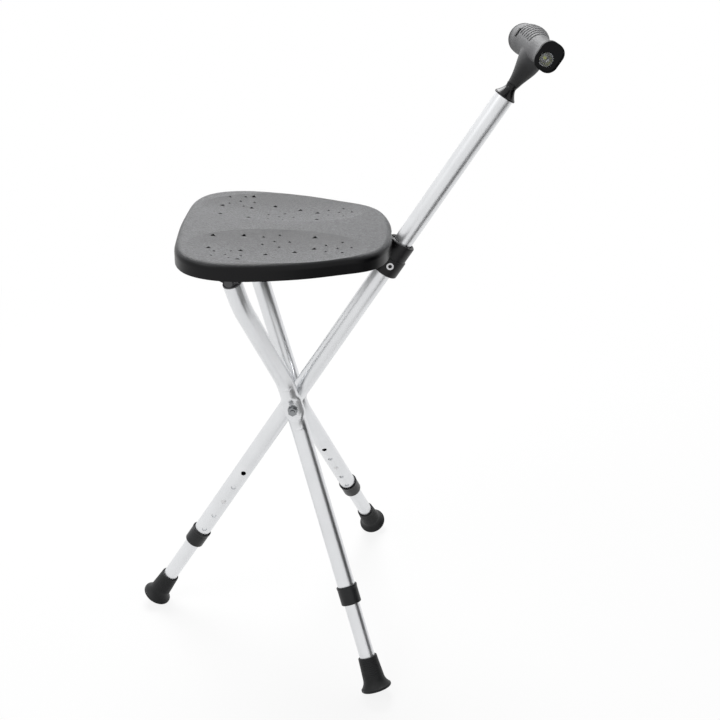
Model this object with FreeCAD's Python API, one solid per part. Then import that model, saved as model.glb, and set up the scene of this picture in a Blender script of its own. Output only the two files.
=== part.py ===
import FreeCAD, Part
import math
import os

from FreeCAD import Placement, Rotation, Vector

# Walking stick with a fold-out seat, standing open on its three feet.
# Millimetres, +Z up, floor at Z = 0. The stick leans toward +X in the plane Y = 0.
# The two side legs are mirror images: the front leg stands on -Y, the rear leg on +Y.

# Stance
PIVOT_X = -37.25  # pivot bolt from the middle of the object's outer box
PIVOT_Z = 322.2  # pivot bolt above the floor
LEAN = 31.9  # stick from upright, degrees

# Tubes
TUBE_R = 11.0  # outer tubes
INNER_R = 9.5  # telescopic lower tubes
INNER_WALL = 1.2
SLIDE_GAP = 0.06  # radial clearance of the telescope
BORE_R = INNER_R + SLIDE_GAP

# Height setting, the same on all three legs, measured up from the clip's lip
HOLE_PITCH = 26.0
HOLE_COUNT = 5
HOLE_R = 3.2
LIP_TO_HOLE = 8.5  # lip to the lowest hole's centre
SET_HOLE = 2  # hole in use, counted from the lowest, which is 0
INNER_ABOVE_BUTTON = 28.0  # lower tube's top above its button
BUTTON_GAP = 0.05
BUTTON_PROUD = 1.3  # button beyond the outer tube
BUTTON_TRAVEL = 2.9
FLANGE_R = 4.5
FLANGE_T = 0.8
SPRING_T = 0.5
SPRING_W = 5.0
SPRING_RISE = 22.0

# Clip at the mouth of each outer tube
CLIP_R = 12.6
CLIP_H = 22.9
CLIP_SOCKET = 11.0  # outer tube's length inside the clip
LIP_GAP = 0.9  # gap round the outer tube at the clip's lip
LIP_DEPTH = 4.0
CLIP_EDGE = 0.8

# Rubber foot, square to its tube
FOOT_R = 18.9
FOOT_EDGE = 1.0  # chamfer round the sole
FOOT_RIM = 3.5
FOOT_H = 41.0
FOOT_WAIST_R = 13.5
FOOT_WAIST_Z = 14.5
FOOT_TOP_R = 11.8
FOOT_FLOOR = 6.0
DISC_T = 1.5
FOOT_RING_COUNT = 6
FOOT_RING_PITCH = 3.2
FOOT_RING_DEPTH = 0.4
TREAD_RADII = (6.0, 11.0, 15.5)
TREAD_W = 1.6
TREAD_DEPTH = 1.0

# Stick, measured along its axis from the pivot bolt
STICK_LIP = -237.4
BELL_RIM = 444.0
STICK_TOP = BELL_RIM + 2.0
BELL_R = 12.6
BELL_WAIST = BELL_RIM + 12.5
BELL_BAND = 2.2  # straight band at the rim
BELL_FLARE = 1.6
BELL_STEPS = 8
BELL_WAIST_R = 5.8
BELL_TOP = BELL_RIM + 15.5
SPIGOT_DEPTH = 30.0
STEM_R = 4.0
STEM_TOP = BELL_TOP + 30.5
STEM_NUT_R = 6.5
STEM_NUT_H = 5.0

# Side leg centre line, from the pivot bolt, with Y away from the stick
KNEE_X = 7.2
KNEE_DROP = 26.8
SHOULDER_RISE = 35.5
ELBOW = (-52.4, 77.2, 158.2)
HIP = (-62.3, 84.2, 197.8)  # pin at the top of the leg
LEG_FLOOR = (109.3, 178.5)  # where the lower line meets the floor
LEG_LIP = 206.0  # knee to the clip's lip
KNEE_BEND_R = 42.0
SHOULDER_BEND_R = 55.0
ELBOW_BEND_R = 120.0
FLAT_HALF = 8.4  # half thickness where the leg is pressed flat round the bolt
FLAT_LENGTH = 16.0  # full flat, centred on the bolt
FLAT_MARGIN = 1.0
NEARLY_ROUND = 0.001  # an ellipse rounder than this is made a circle

# Pivot hardware
BOLT_R = 3.0
BOLT_GAP = 0.08
SPACER_R = 7.0
SPACER_T = 2.7
PIVOT_SIDE_GAP = 0.2
WASHER_R = 6.2
WASHER_T = 1.2
HEX_R = 5.77  # corner radius of the 10 mm hexagons
NUT_H = 5.0
HEAD_H = 4.0
BOLT_END = 1.6

# Leg top and its bracket under the seat
TUBE_TO_PIN = 9.0
PLUG_DEPTH = 14.0
PLUG_FLANGE = 1.5
TONGUE_HALF = 5.0
TONGUE_R = 8.0
PIN_R = 3.0
CHEEK_GAP = 15.8  # pin's middle to each cheek
CHEEK_T = 2.0
CHEEK_R = 6.0
PIN_END_GAP = 0.3
BRACKET_FLARE = 12.0
WEB_START = 14.0
WEB_LENGTH = 24.0
RIVET_HEAD_R = 4.6
RIVET_HEAD_H = 1.4

# Sliding collar
COLLAR_SCREW = 217.0  # hinge screws along the stick
COLLAR_BOTTOM = 203.5
COLLAR_STEP = 225.0
COLLAR_TOP = 245.0
SLEEVE_R = 15.8
COLLAR_R = 17.3
COLLAR_GAP = 0.06
MOUTH_GAP = 1.2
MOUTH_DEPTH = 3.0
NOTCH_W = 4.0
NOTCH_L = 4.5
EAR_INNER = 12.7  # middle of the stick to each seat ear
EAR_T = 2.1
EAR_R = 6.0
EAR_REACH = 24.0
POCKET_GAP = 0.15
SCREW_R = 2.5
SCREW_GAP = 0.08
SCREW_HEAD_R = 4.3
SCREW_HEAD_H = 1.2
SOCKET_R = 1.7

# Seat shell
SEAT_Z = 548.8
SEAT_TILT = 1.4  # degrees, nose down
SEAT_RIM = 18.5
SEAT_WALL = 3.5
SEAT_PLATE = 8.2
SEAT_ROUND = 7.0
DISH_DEPTH = 5.6
DISH_X = -12.0
DISH_Y = 64.0
DISH_LENGTH = 99.0  # half length of each scoop at the top face
DISH_WIDTH = 51.0
DISH_BALL = 60.0
BIG_HOLE = 3.5  # corner radius of the three-sided vent holes
SMALL_HOLE = 2.1
RIB_Y = 34.0
RIB_T = 2.5
RIB_H = 9.0
RIB_FROM = -104.0
RIB_TO = 38.0
COLLAR_ROOM = 19.0  # radius kept free round the stick at the seat's nose
PLATE_T = 2.0
PLATE_FROM = 46.0
NOSE_PLATE_END = 97.0
SCREW_SHANK_R = 1.8
SCREW_BITE = 3.0
PAN_R = 3.8
PAN_H = 2.0

# Half outline of the seat, X from the pivot bolt and Y outward
SEAT_HALF = ((-127, 0), (-125.3, 47.3), (-120.5, 84.3), (-107.5, 107.5), (-84, 121.5), (-53.7, 125.6), (-15.4, 121),
             (26.4, 110.6), (63.9, 96), (91, 83), (106.5, 64), (114.5, 36), (116.8, 0))
BIG_HOLES = ((-51, 103), (-51, 70), (-86, 70), (-85, 36), (-51, 30), (-23, 79), (8, 69), (29, 59), (29, 30))
SMALL_HOLES = ((-79, 79), (-61, 74), (-66, 88), (-49, 88), (-80, 97), (-61, 101), (-29, 31), (-11, 26), (-16, 41),
               (1, 41), (-29, 49), (-10, 55), (42, 50), (60, 44), (55, 59), (70, 59), (42, 68), (60, 72))

# Grip sections along Y: (Y, across, middle above the bell, half width across, half height along the stick)
GRIP_SECTIONS = ((-51, 1.0, 48.2, 12.2, 15.0), (-45, 0.2, 47.6, 10.9, 13.9), (-36, -0.5, 47.0, 10.6, 13.4),
                 (-20, -3.0, 46.4, 11.2, 13.8), (0, -3.6, 46.2, 13.6, 16.4), (20, -4.2, 45.6, 16.0, 18.0),
                 (38, -5.6, 43.4, 17.0, 17.8), (50, -7.2, 41.4, 16.8, 17.0))
# Neck sections along the stick: (height above the bell, across, half width across, half width along Y)
NECK_SECTIONS = ((0, 0.3, 6.6, 6.8), (8.5, 0.8, 8.2, 9.6), (18.5, 1.1, 11.0, 15.0), (28.5, 0.4, 13.2, 20.5),
                 (36.5, -1.4, 13.4, 24.0))
GROOVE_COUNT = 7
GROOVE_FROM = -12.0
GROOVE_PITCH = 6.6
GROOVE_W = 2.0
GROOVE_DEPTH = 1.3
CAP_GAP = 0.6
CAP_END = 63.5

# Lamp in the front of the grip
LAMP_S = BELL_TOP + 44.6
LAMP_E = 0.6
BEZEL_FRONT = -56.0
BEZEL_T = 5.0
BEZEL_S = BELL_TOP + 48.4
BEZEL_E = 1.2
BEZEL_HALF_W = 13.0
BEZEL_HALF_H = 15.6
BEZEL_CORNER = 10.6
BEZEL_LIP = 1.4
BEZEL_RECESS = 1.6
LENS_R = 7.4
LENS_T = 1.2
LENS_SET_BACK = 2.2
HOUSING_R = 8.2
HOUSING_WALL = 0.8
HOUSING_LENGTH = 16.0
REFLECTOR_DEPTH = 7.0
LED_PLATE_R = 5.0
LED_PLATE_T = 1.5
LED_CHIP_R = 1.4
LED_CHIP_H = 0.6
CELL_R = 5.8
CELL_T = 5.2
CELL_COUNT = 3
CELL_GAP = 0.2
CELL_SPRING_L = 5.0
SWITCH_Y = 30.0
SWITCH_S = BELL_TOP + 45.0
SWITCH_HALF_L = 5.0
SWITCH_HALF_W = 2.0
SWITCH_PROUD = 0.9
SWITCH_DEPTH = 4.0
SWITCH_GAP = 0.15

X_AXIS = Vector(1, 0, 0)
Y_AXIS = Vector(0, 1, 0)
Z_AXIS = Vector(0, 0, 1)
PIVOT = Vector(PIVOT_X, 0, PIVOT_Z)
STICK = Placement(PIVOT, Rotation(Y_AXIS, LEAN))
SEAT = Placement(Vector(0, 0, 0), Rotation(Y_AXIS, SEAT_TILT), Vector(PIVOT_X, 0, SEAT_Z))
LEG_OFFSET = TUBE_R + SPACER_T + PIVOT_SIDE_GAP + FLAT_HALF
SET_HEIGHT = LIP_TO_HOLE + SET_HOLE * HOLE_PITCH
SOLE_R = FOOT_R - FOOT_EDGE


def from_pivot(x, y, z):
    """A point given from the pivot bolt."""
    return PIVOT + Vector(x, y, z)


def cylinder(radius, start, end):
    """A solid cylinder between two points."""
    axis = end - start
    return Part.makeCylinder(radius, axis.Length, start, axis)


def on_y(radius, x, z, y_from, y_to):
    """A solid cylinder along Y."""
    return cylinder(radius, Vector(x, y_from, z), Vector(x, y_to, z))


def on_z(radius, z_from, z_to):
    """A solid cylinder on the Z axis."""
    return cylinder(radius, Vector(0, 0, z_from), Vector(0, 0, z_to))


def box(x_from, x_to, y_from, y_to, z_from, z_to):
    """A solid box between limits."""
    return Part.makeBox(x_to - x_from, y_to - y_from, z_to - z_from, Vector(x_from, y_from, z_from))


def turned(profile):
    """A solid of revolution about Z from (radius, z) points."""
    points = [Vector(radius, 0, z) for radius, z in profile]
    wire = Part.makePolygon(points + points[:1])
    return Part.Face(wire).revolve(Vector(0, 0, 0), Z_AXIS, 360)


def plate_xz(points, y_from, y_to):
    """A flat plate with an outline of (x, z) points, between two Y values."""
    corners = [Vector(x, y_from, z) for x, z in points]
    face = Part.Face(Part.makePolygon(corners + corners[:1]))
    return face.extrude(Vector(0, y_to - y_from, 0))


def hexagon(radius, x, z, y_from, y_to):
    """A hexagonal prism along Y."""
    angles = [math.radians(60 * i + 30) for i in range(6)]
    return plate_xz([(x + radius * math.cos(a), z + radius * math.sin(a)) for a in angles], y_from, y_to)


def on_stick(shape):
    """Moves a shape from the stick's own axes, Z along the stick, to its place."""
    placed = shape.copy()
    placed.Placement = STICK.multiply(placed.Placement)
    return placed


def mirrored(shape):
    """The same piece on the other side of the plane Y = 0."""
    return shape.mirror(Vector(0, 0, 0), Y_AXIS)


def ellipse_wire(center, normal, wide, half_wide, half_thick):
    """A closed ellipse with its long axis along wide, or a circle where it is round."""
    curve = Part.Circle(Vector(0, 0, 0), Z_AXIS, half_thick)
    if half_wide > half_thick + NEARLY_ROUND:
        curve = Part.Ellipse(Vector(0, 0, 0), half_wide, half_thick)
    side = normal.cross(wide)
    turn = Rotation(wide, side, normal, "ZXY")
    edge = curve.toShape()
    edge.Placement = Placement(center, turn)
    return Part.Wire([edge])


# Telescope, clip, button and foot, built along Z with the clip's lip at Z = 0


def button_hole_cutters(radius, wall_r):
    """Cylinders for the row of height holes, on the -Y face."""
    heights = [LIP_TO_HOLE + i * HOLE_PITCH for i in range(HOLE_COUNT)]
    return [on_y(radius, 0, z, -wall_r - 1, 0) for z in heights]


def make_clip():
    """Collar-shaped clip that closes the outer tube's mouth round the lower tube."""
    profile = [
        (TUBE_R + LIP_GAP, 0), (CLIP_R + CLIP_EDGE / 2, 0), (CLIP_R + CLIP_EDGE / 2, -LIP_DEPTH / 2),
        (CLIP_R, -LIP_DEPTH), (CLIP_R, -CLIP_H + CLIP_EDGE), (CLIP_R - CLIP_EDGE, -CLIP_H),
        (BORE_R, -CLIP_H), (BORE_R, -CLIP_SOCKET), (TUBE_R, -CLIP_SOCKET), (TUBE_R, -LIP_DEPTH),
    ]
    return turned(profile)


def make_inner_tube(sole):
    """Lower tube from above its button down to the disc in the foot."""
    top = SET_HEIGHT + INNER_ABOVE_BUTTON
    bottom = sole + FOOT_FLOOR + DISC_T
    tube = on_z(INNER_R, bottom, top).cut(on_z(INNER_R - INNER_WALL, bottom - 1, top + 1))
    return tube.cut(on_y(HOLE_R, 0, SET_HEIGHT, -INNER_R - 1, 0))


def foot_profile(sole):
    """Outside and bore of the rubber foot, with fine rings round its upper part."""
    outside = [(0, sole), (SOLE_R, sole), (FOOT_R, sole + FOOT_EDGE), (FOOT_R, sole + FOOT_RIM)]
    flare = [
        (FOOT_WAIST_R + (FOOT_R - FOOT_WAIST_R) * (1 - step / 4) ** 2,
         sole + FOOT_RIM + (FOOT_WAIST_Z - FOOT_RIM) * step / 4) for step in range(1, 4)
    ]
    outside += flare + [(FOOT_WAIST_R, sole + FOOT_WAIST_Z)]
    taper = (FOOT_WAIST_R - FOOT_TOP_R) / (FOOT_H - FOOT_WAIST_Z)
    for ring in range(FOOT_RING_COUNT):
        height = FOOT_H - (FOOT_RING_COUNT - ring) * FOOT_RING_PITCH
        radius = FOOT_WAIST_R - taper * (height - FOOT_WAIST_Z)
        outside += [(radius, sole + height - 0.6), (radius - FOOT_RING_DEPTH, sole + height),
                    (radius, sole + height + 0.6)]
    top = sole + FOOT_H
    return outside + [(FOOT_TOP_R, top), (INNER_R + 0.6, top), (INNER_R, top - 1.5),
                      (INNER_R, sole + FOOT_FLOOR), (0, sole + FOOT_FLOOR)]


def make_foot(sole):
    """Rubber foot with a ringed tread under its sole."""
    foot = turned(foot_profile(sole))
    for radius in TREAD_RADII:
        ring = on_z(radius + TREAD_W / 2, sole - 1, sole + TREAD_DEPTH)
        foot = foot.cut(ring.cut(on_z(radius - TREAD_W / 2, sole - 2, sole + TREAD_DEPTH + 1)))
    return foot


def make_foot_disc(sole):
    """Steel disc that keeps the tube from cutting through the rubber."""
    floor = sole + FOOT_FLOOR
    return on_z(INNER_R, floor, floor + DISC_T)


def make_button():
    """Domed snap button with a flange inside the lower tube."""
    radius = HOLE_R - BUTTON_GAP
    flange_face = -math.sqrt((INNER_R - INNER_WALL) ** 2 - FLANGE_R ** 2)
    flange = on_y(FLANGE_R, 0, SET_HEIGHT, flange_face + 0.1, flange_face + 0.1 + FLANGE_T)
    shank = on_y(radius, 0, SET_HEIGHT, -TUBE_R - BUTTON_PROUD, flange_face + 0.2)
    reach = TUBE_R + BUTTON_PROUD
    dome_r = (radius ** 2 + BUTTON_PROUD ** 2) / (2 * BUTTON_PROUD)
    dome = Part.makeSphere(dome_r, Vector(0, dome_r - reach, SET_HEIGHT))
    rounded = shank.common(dome.fuse(on_y(radius + 1, 0, SET_HEIGHT, -TUBE_R, 0)))
    return rounded.fuse(flange).removeSplitter()


def make_button_spring():
    """Folded leaf spring behind the button, carried with it."""
    inside = INNER_R - INNER_WALL
    near = -math.sqrt(inside ** 2 - FLANGE_R ** 2) + 0.1 + FLANGE_T
    far = math.sqrt(inside ** 2 - (SPRING_W / 2) ** 2) - BUTTON_TRAVEL - 0.3
    top = SET_HEIGHT + SPRING_RISE
    low = SET_HEIGHT - FLANGE_R
    outline = [(near, low), (near, SET_HEIGHT), (-1.2, top), (1.2, top), (far, low), (far - SPRING_T, low),
               (1.2 - SPRING_T, top - 3 * SPRING_T), (-1.2 + SPRING_T, top - 3 * SPRING_T),
               (near + SPRING_T, SET_HEIGHT), (near + SPRING_T, low)]
    corners = [Vector(-SPRING_W / 2, y, z) for y, z in outline]
    return Part.Face(Part.makePolygon(corners + corners[:1])).extrude(Vector(SPRING_W, 0, 0))


def telescope(sole, place):
    """The clip, lower tube, foot, disc, button and spring of one leg, put in place."""
    pieces = {
        "clip": make_clip(),
        "inner_tube": make_inner_tube(sole),
        "foot": make_foot(sole),
        "foot_disc": make_foot_disc(sole),
        "button": make_button(),
        "button_spring": make_button_spring(),
    }
    for shape in pieces.values():
        shape.Placement = place.multiply(shape.Placement)
    return pieces


# Stick


def stick_lip_place():
    """Axes of the stick's clip, Z up the stick."""
    return STICK.multiply(Placement(Vector(0, 0, STICK_LIP), Rotation()))


def stick_sole():
    """Sole of the stick's foot below its lip, so that the sole's lowest edge is on the floor."""
    lean = math.radians(LEAN)
    reach = (PIVOT_Z - SOLE_R * math.sin(lean)) / math.cos(lean)
    return -reach - STICK_LIP


def make_main_tube():
    """Long outer tube with the height holes and the bolt hole."""
    bottom = STICK_LIP - CLIP_SOCKET
    tube = on_z(TUBE_R, bottom, STICK_TOP).cut(on_z(BORE_R, bottom - 1, STICK_TOP + 1))
    tube = tube.cut(on_y(BOLT_R, 0, 0, -TUBE_R - 1, TUBE_R + 1))
    for hole in button_hole_cutters(HOLE_R, TUBE_R):
        hole.translate(Vector(0, 0, STICK_LIP))
        tube = tube.cut(hole)
    return on_stick(tube)


def make_bell():
    """Bell-shaped ferrule over the top of the tube, with a spigot inside it."""
    low = STICK_TOP - SPIGOT_DEPTH
    start = BELL_RIM + BELL_BAND
    curve = [
        (BELL_WAIST_R + (BELL_R - BELL_WAIST_R) * (1 - step / BELL_STEPS) ** BELL_FLARE,
         start + (BELL_WAIST - start) * step / BELL_STEPS) for step in range(1, BELL_STEPS)
    ]
    profile = [(STEM_R, low), (BORE_R, low), (BORE_R, STICK_TOP), (TUBE_R, STICK_TOP), (TUBE_R, BELL_RIM),
               (BELL_R, BELL_RIM), (BELL_R, start)]
    profile += curve + [(BELL_WAIST_R, BELL_WAIST), (NECK_SECTIONS[0][2], BELL_TOP), (STEM_R, BELL_TOP)]
    return on_stick(turned(profile))


def make_grip_stem():
    """Steel rod that ties the grip to the bell."""
    low = STICK_TOP - SPIGOT_DEPTH - STEM_NUT_H - 2
    return on_stick(on_z(STEM_R, low, STEM_TOP))


def make_grip_stem_nut():
    """Round nut under the spigot."""
    top = STICK_TOP - SPIGOT_DEPTH
    nut = on_z(STEM_NUT_R, top - STEM_NUT_H, top)
    return on_stick(nut.cut(on_z(STEM_R, top - STEM_NUT_H - 1, top + 1)))


# Grip, in the stick's own axes


def grip_section(y, grow=0.0):
    """Middle and half sizes of the grip at a place along Y, by linear steps between its sections."""
    stations = GRIP_SECTIONS
    for low, high in zip(stations, stations[1:]):
        if y <= high[0]:
            break
    share = (y - low[0]) / (high[0] - low[0])
    across, along, half_w, half_h = [a + share * (b - a) for a, b in zip(low[1:], high[1:])]
    return across, BELL_TOP + along, half_w + grow, half_h + grow


def section_wire(y, across, along, half_w, half_h):
    """An upright ellipse across the grip."""
    return ellipse_wire(Vector(across, y, along), Y_AXIS, Z_AXIS, half_h, half_w)


def make_grip_blank():
    """Bar and neck of the grip, before its holes."""
    bar = Part.makeLoft([section_wire(y, *grip_section(y)) for y, *_ in GRIP_SECTIONS], True)
    wires = [ellipse_wire(Vector(across, 0, BELL_TOP + rise), Z_AXIS, Y_AXIS, half_y, half_w)
             for rise, across, half_w, half_y in NECK_SECTIONS]
    neck = Part.makeLoft(wires, True)
    return bar.fuse(neck)


def make_groove(y):
    """Cutter for one finger groove over the top of the grip."""
    across, along, half_w, half_h = grip_section(y)
    outer = Part.Face(section_wire(y, across, along, half_w + 4, half_h + 4))
    inner = Part.Face(section_wire(y, across, along, half_w - GROOVE_DEPTH, half_h - GROOVE_DEPTH))
    ring = outer.cut(inner).extrude(Vector(0, GROOVE_W, 0))
    upper = box(-60, 60, y - 1, y + GROOVE_W + 1, along, along + 60)
    return ring.common(upper)


def lamp_bore(radius, y_from, y_to):
    """A cylinder on the lamp's axis."""
    return on_y(radius, LAMP_E, LAMP_S, y_from, y_to)


def switch_blank(grow, reach_in, reach_out):
    """Rounded bar for the switch and its pocket, on the grip's side away from the seat's back."""
    across, _, half_w, _ = grip_section(SWITCH_Y)
    face = across - half_w
    long_half = SWITCH_HALF_L + grow
    half = SWITCH_HALF_W + grow
    outline = ellipse_wire(Vector(face - reach_out, SWITCH_Y, SWITCH_S), X_AXIS, Z_AXIS, long_half, half)
    return Part.Face(outline).extrude(Vector(reach_in + reach_out, 0, 0))


def housing_end():
    """Inner end of the lamp housing."""
    return BEZEL_FRONT + BEZEL_T + HOUSING_LENGTH


def cells_end():
    """Far end of the row of cells."""
    return housing_end() + CELL_COUNT * (CELL_T + CELL_GAP)


def make_grip_body():
    """Rubber-covered grip with its grooves, lamp bore, cell bore and switch pocket."""
    grip = make_grip_blank()
    for i in range(GROOVE_COUNT):
        grip = grip.cut(make_groove(GROOVE_FROM + i * GROOVE_PITCH))
    grip = grip.cut(lamp_bore(HOUSING_R, BEZEL_FRONT, housing_end()))
    grip = grip.cut(lamp_bore(CELL_R + CELL_GAP, housing_end(), cells_end() + CELL_SPRING_L))
    grip = grip.cut(on_z(STEM_R, BELL_TOP - 1, STEM_TOP))
    grip = grip.cut(switch_blank(SWITCH_GAP, SWITCH_DEPTH + 1.5, 2.0))
    return on_stick(grip)


def make_rear_cap():
    """Rounded cap over the rear end of the grip."""
    across, along, half_w, half_h = grip_section(GRIP_SECTIONS[-1][0])
    start = GRIP_SECTIONS[-1][0] + CAP_GAP
    wires = []
    for share in (0.0, 0.35, 0.65, 0.88, 1.0):
        shrink = math.sqrt(1 - 0.86 * share ** 2)
        y = start + share * (CAP_END - start)
        wires.append(section_wire(y, across - share, along - share, half_w * shrink, half_h * shrink))
    cap = Part.makeLoft(wires, True)
    joint = section_wire(start - CAP_GAP, across, along, half_w - 1.5, half_h - 1.5)
    return on_stick(cap.fuse(Part.Face(joint).extrude(Vector(0, CAP_GAP + 0.1, 0))))


def bezel_slab(inset, depth):
    """Slab with the bezel's rounded outline, drawn in by an inset, from its front face."""
    half_w, half_h = BEZEL_HALF_W - inset, BEZEL_HALF_H - inset
    slab = box(BEZEL_E - half_w, BEZEL_E + half_w, BEZEL_FRONT, BEZEL_FRONT + depth, BEZEL_S - half_h, BEZEL_S + half_h)
    corners = [edge for edge in slab.Edges if abs(edge.tangentAt(edge.FirstParameter).y) > 0.9]
    return slab.makeFillet(BEZEL_CORNER - inset, corners)


def make_lamp_bezel():
    """Glossy oblong frame round the lamp, with a recess in its face."""
    bezel = bezel_slab(0, BEZEL_T).cut(bezel_slab(BEZEL_LIP, BEZEL_RECESS))
    return on_stick(bezel.cut(lamp_bore(LENS_R, BEZEL_FRONT, BEZEL_FRONT + BEZEL_T + 1)))


def make_lamp_lens():
    """Clear disc in the bezel."""
    front = BEZEL_FRONT + LENS_SET_BACK
    return on_stick(lamp_bore(LENS_R, front, front + LENS_T))


def reflector_mouth():
    """Front of the reflector, behind the lens."""
    return BEZEL_FRONT + BEZEL_T


def make_torch_housing():
    """Thin sleeve that carries the reflector and the lamp plate."""
    start = reflector_mouth()
    sleeve = lamp_bore(HOUSING_R, start, housing_end())
    return on_stick(sleeve.cut(lamp_bore(HOUSING_R - HOUSING_WALL, start - 1, housing_end() + 1)))


def make_reflector():
    """Bright dish round the lamp, turned about the lamp's axis."""
    mouth_r = HOUSING_R - HOUSING_WALL
    steps = 6
    inside = [(LED_CHIP_R + 1 + (mouth_r - LED_CHIP_R - 1.4) * math.sqrt(i / steps), i / steps * REFLECTOR_DEPTH)
              for i in range(steps + 1)]
    profile = [(mouth_r, REFLECTOR_DEPTH), (mouth_r, 0)] + inside
    dish = turned(profile)
    dish.Placement = Placement(Vector(LAMP_E, reflector_mouth() + REFLECTOR_DEPTH, LAMP_S), Rotation(X_AXIS, 90))
    return on_stick(dish)


def make_led_module():
    """Lamp plate with its small chip at the reflector's foot."""
    plate_front = reflector_mouth() + REFLECTOR_DEPTH
    plate = lamp_bore(LED_PLATE_R, plate_front, plate_front + LED_PLATE_T)
    chip = lamp_bore(LED_CHIP_R, plate_front - LED_CHIP_H, plate_front)
    return on_stick(plate.fuse(chip))


def make_battery_cells():
    """Row of button cells behind the lamp."""
    cells = []
    for i in range(CELL_COUNT):
        start = housing_end() + i * (CELL_T + CELL_GAP)
        cells.append(on_stick(lamp_bore(CELL_R, start, start + CELL_T)))
    return Part.makeCompound(cells)


def make_battery_spring():
    """Contact spring behind the cells, as a plain sleeve."""
    start = cells_end()
    sleeve = lamp_bore(CELL_R - 1.5, start, start + CELL_SPRING_L)
    return on_stick(sleeve.cut(lamp_bore(CELL_R - 2.3, start - 1, start + CELL_SPRING_L + 1)))


def make_lamp_switch():
    """Press switch on the side of the grip."""
    return on_stick(switch_blank(0.0, SWITCH_DEPTH, SWITCH_PROUD))


# Pivot hardware, along Y through the pivot bolt


def leg_outer_face():
    """Outer face of the pressed-flat stretch of a side leg."""
    return LEG_OFFSET + FLAT_HALF + PIVOT_SIDE_GAP


def ring_on_y(outer_r, inner_r, y_from, y_to):
    """A washer about the pivot bolt's axis."""
    ring = on_y(outer_r, PIVOT.x, PIVOT.z, y_from, y_to)
    return ring.cut(on_y(inner_r, PIVOT.x, PIVOT.z, y_from - 1, y_to + 1))


def make_pivot_bolt():
    """Bolt through both legs and the stick, with its head on the rear side."""
    seat_y = leg_outer_face() + WASHER_T
    shank = on_y(BOLT_R, PIVOT.x, PIVOT.z, -seat_y - NUT_H - BOLT_END, seat_y)
    return shank.fuse(hexagon(HEX_R, PIVOT.x, PIVOT.z, seat_y, seat_y + HEAD_H)).removeSplitter()


def make_pivot_nut():
    """Hexagon nut on the front side."""
    seat_y = leg_outer_face() + WASHER_T
    nut = hexagon(HEX_R, PIVOT.x, PIVOT.z, -seat_y - NUT_H, -seat_y)
    return nut.cut(on_y(BOLT_R, PIVOT.x, PIVOT.z, -seat_y - NUT_H - 1, -seat_y + 1))


def make_pivot_washers():
    """Washers under the nut and the head."""
    face = leg_outer_face()
    rear = ring_on_y(WASHER_R, BOLT_R, face, face + WASHER_T)
    return Part.makeCompound([rear, mirrored(rear)])


def make_pivot_spacers():
    """Slippery washers between the stick and the legs."""
    rear = ring_on_y(SPACER_R, BOLT_R, TUBE_R, TUBE_R + SPACER_T)
    return Part.makeCompound([rear, mirrored(rear)])


# Side legs, built for the rear leg


def shoulder_x():
    """Shoulder's X, in line with the knee and the pivot bolt."""
    return -KNEE_X * SHOULDER_RISE / KNEE_DROP


def leg_points():
    """Corners of the leg's centre line, from the clip end up."""
    knee = from_pivot(KNEE_X, LEG_OFFSET, -KNEE_DROP)
    shoulder = from_pivot(shoulder_x(), LEG_OFFSET, SHOULDER_RISE)
    elbow = from_pivot(*ELBOW)
    hip = from_pivot(*HIP)
    low = knee + leg_direction() * (LEG_LIP + CLIP_SOCKET)
    top = hip - (hip - elbow).normalize() * TUBE_TO_PIN
    return low, knee, shoulder, elbow, top


def leg_direction():
    """Direction down the straight lower run."""
    knee = from_pivot(KNEE_X, LEG_OFFSET, -KNEE_DROP)
    foot = Vector(PIVOT.x + LEG_FLOOR[0], LEG_FLOOR[1], 0)
    return (foot - knee).normalize()


def bend(before, corner, after, radius):
    """Start, middle and end of the arc that rounds a corner of the centre line."""
    back = (before - corner).normalize()
    ahead = (after - corner).normalize()
    half_turn = (math.pi - back.getAngle(ahead)) / 2
    reach = radius * math.tan(half_turn)
    inward = (back + ahead).normalize()
    middle = corner + inward * (radius / math.cos(half_turn) - radius)
    return corner + back * reach, middle, corner + ahead * reach


def leg_bends():
    """The three bends of the leg's centre line."""
    low, knee, shoulder, elbow, top = leg_points()
    return (bend(low, knee, shoulder, KNEE_BEND_R), bend(knee, shoulder, elbow, SHOULDER_BEND_R),
            bend(shoulder, elbow, top, ELBOW_BEND_R))


def arc_edge(points):
    """Edge through the three points of a bend."""
    return Part.Arc(*points).toShape()


def line_edge(start, end):
    """Straight edge."""
    return Part.LineSegment(start, end).toShape()


def swept(edges, radius):
    """Round bar along a chain of edges."""
    path = Part.Wire(edges)
    start = path.OrderedVertexes[0].Point
    first = edges[0]
    tangent = first.tangentAt(first.FirstParameter)
    profile = Part.Wire([Part.Circle(start, tangent, radius).toShape()])
    return path.makePipeShell([profile], True, False)


def pressed_bar(radius, half_thick):
    """Bar that changes from round to pressed flat at the bolt and back to round."""
    knee_bend, shoulder_bend, _ = leg_bends()
    start = knee_bend[2]
    end = shoulder_bend[0]
    run = (end - start).normalize()
    wide = Y_AXIS.cross(run)
    centre = (from_pivot(0, LEG_OFFSET, 0) - start).dot(run)
    length = (end - start).Length
    flat = FLAT_LENGTH / 2
    blend = min(centre, length - centre) - FLAT_MARGIN - flat
    rising = [flat + blend * share for share in (0.0, 0.25, 0.5, 0.75, 1.0)]
    places = [0.0] + [centre - reach for reach in reversed(rising)]
    places += [centre] + [centre + reach for reach in rising] + [length]
    wires = []
    for place in places:
        share = min(1.0, max(0.0, abs(place - centre) - flat) / blend)
        thick = radius - (radius - half_thick) * (0.5 + 0.5 * math.cos(math.pi * share))
        half_wide = math.sqrt(2 * radius ** 2 - thick ** 2)
        wires.append(ellipse_wire(start + run * place, run, wide, half_wide, thick))
    return Part.makeLoft(wires, True, True)


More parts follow.
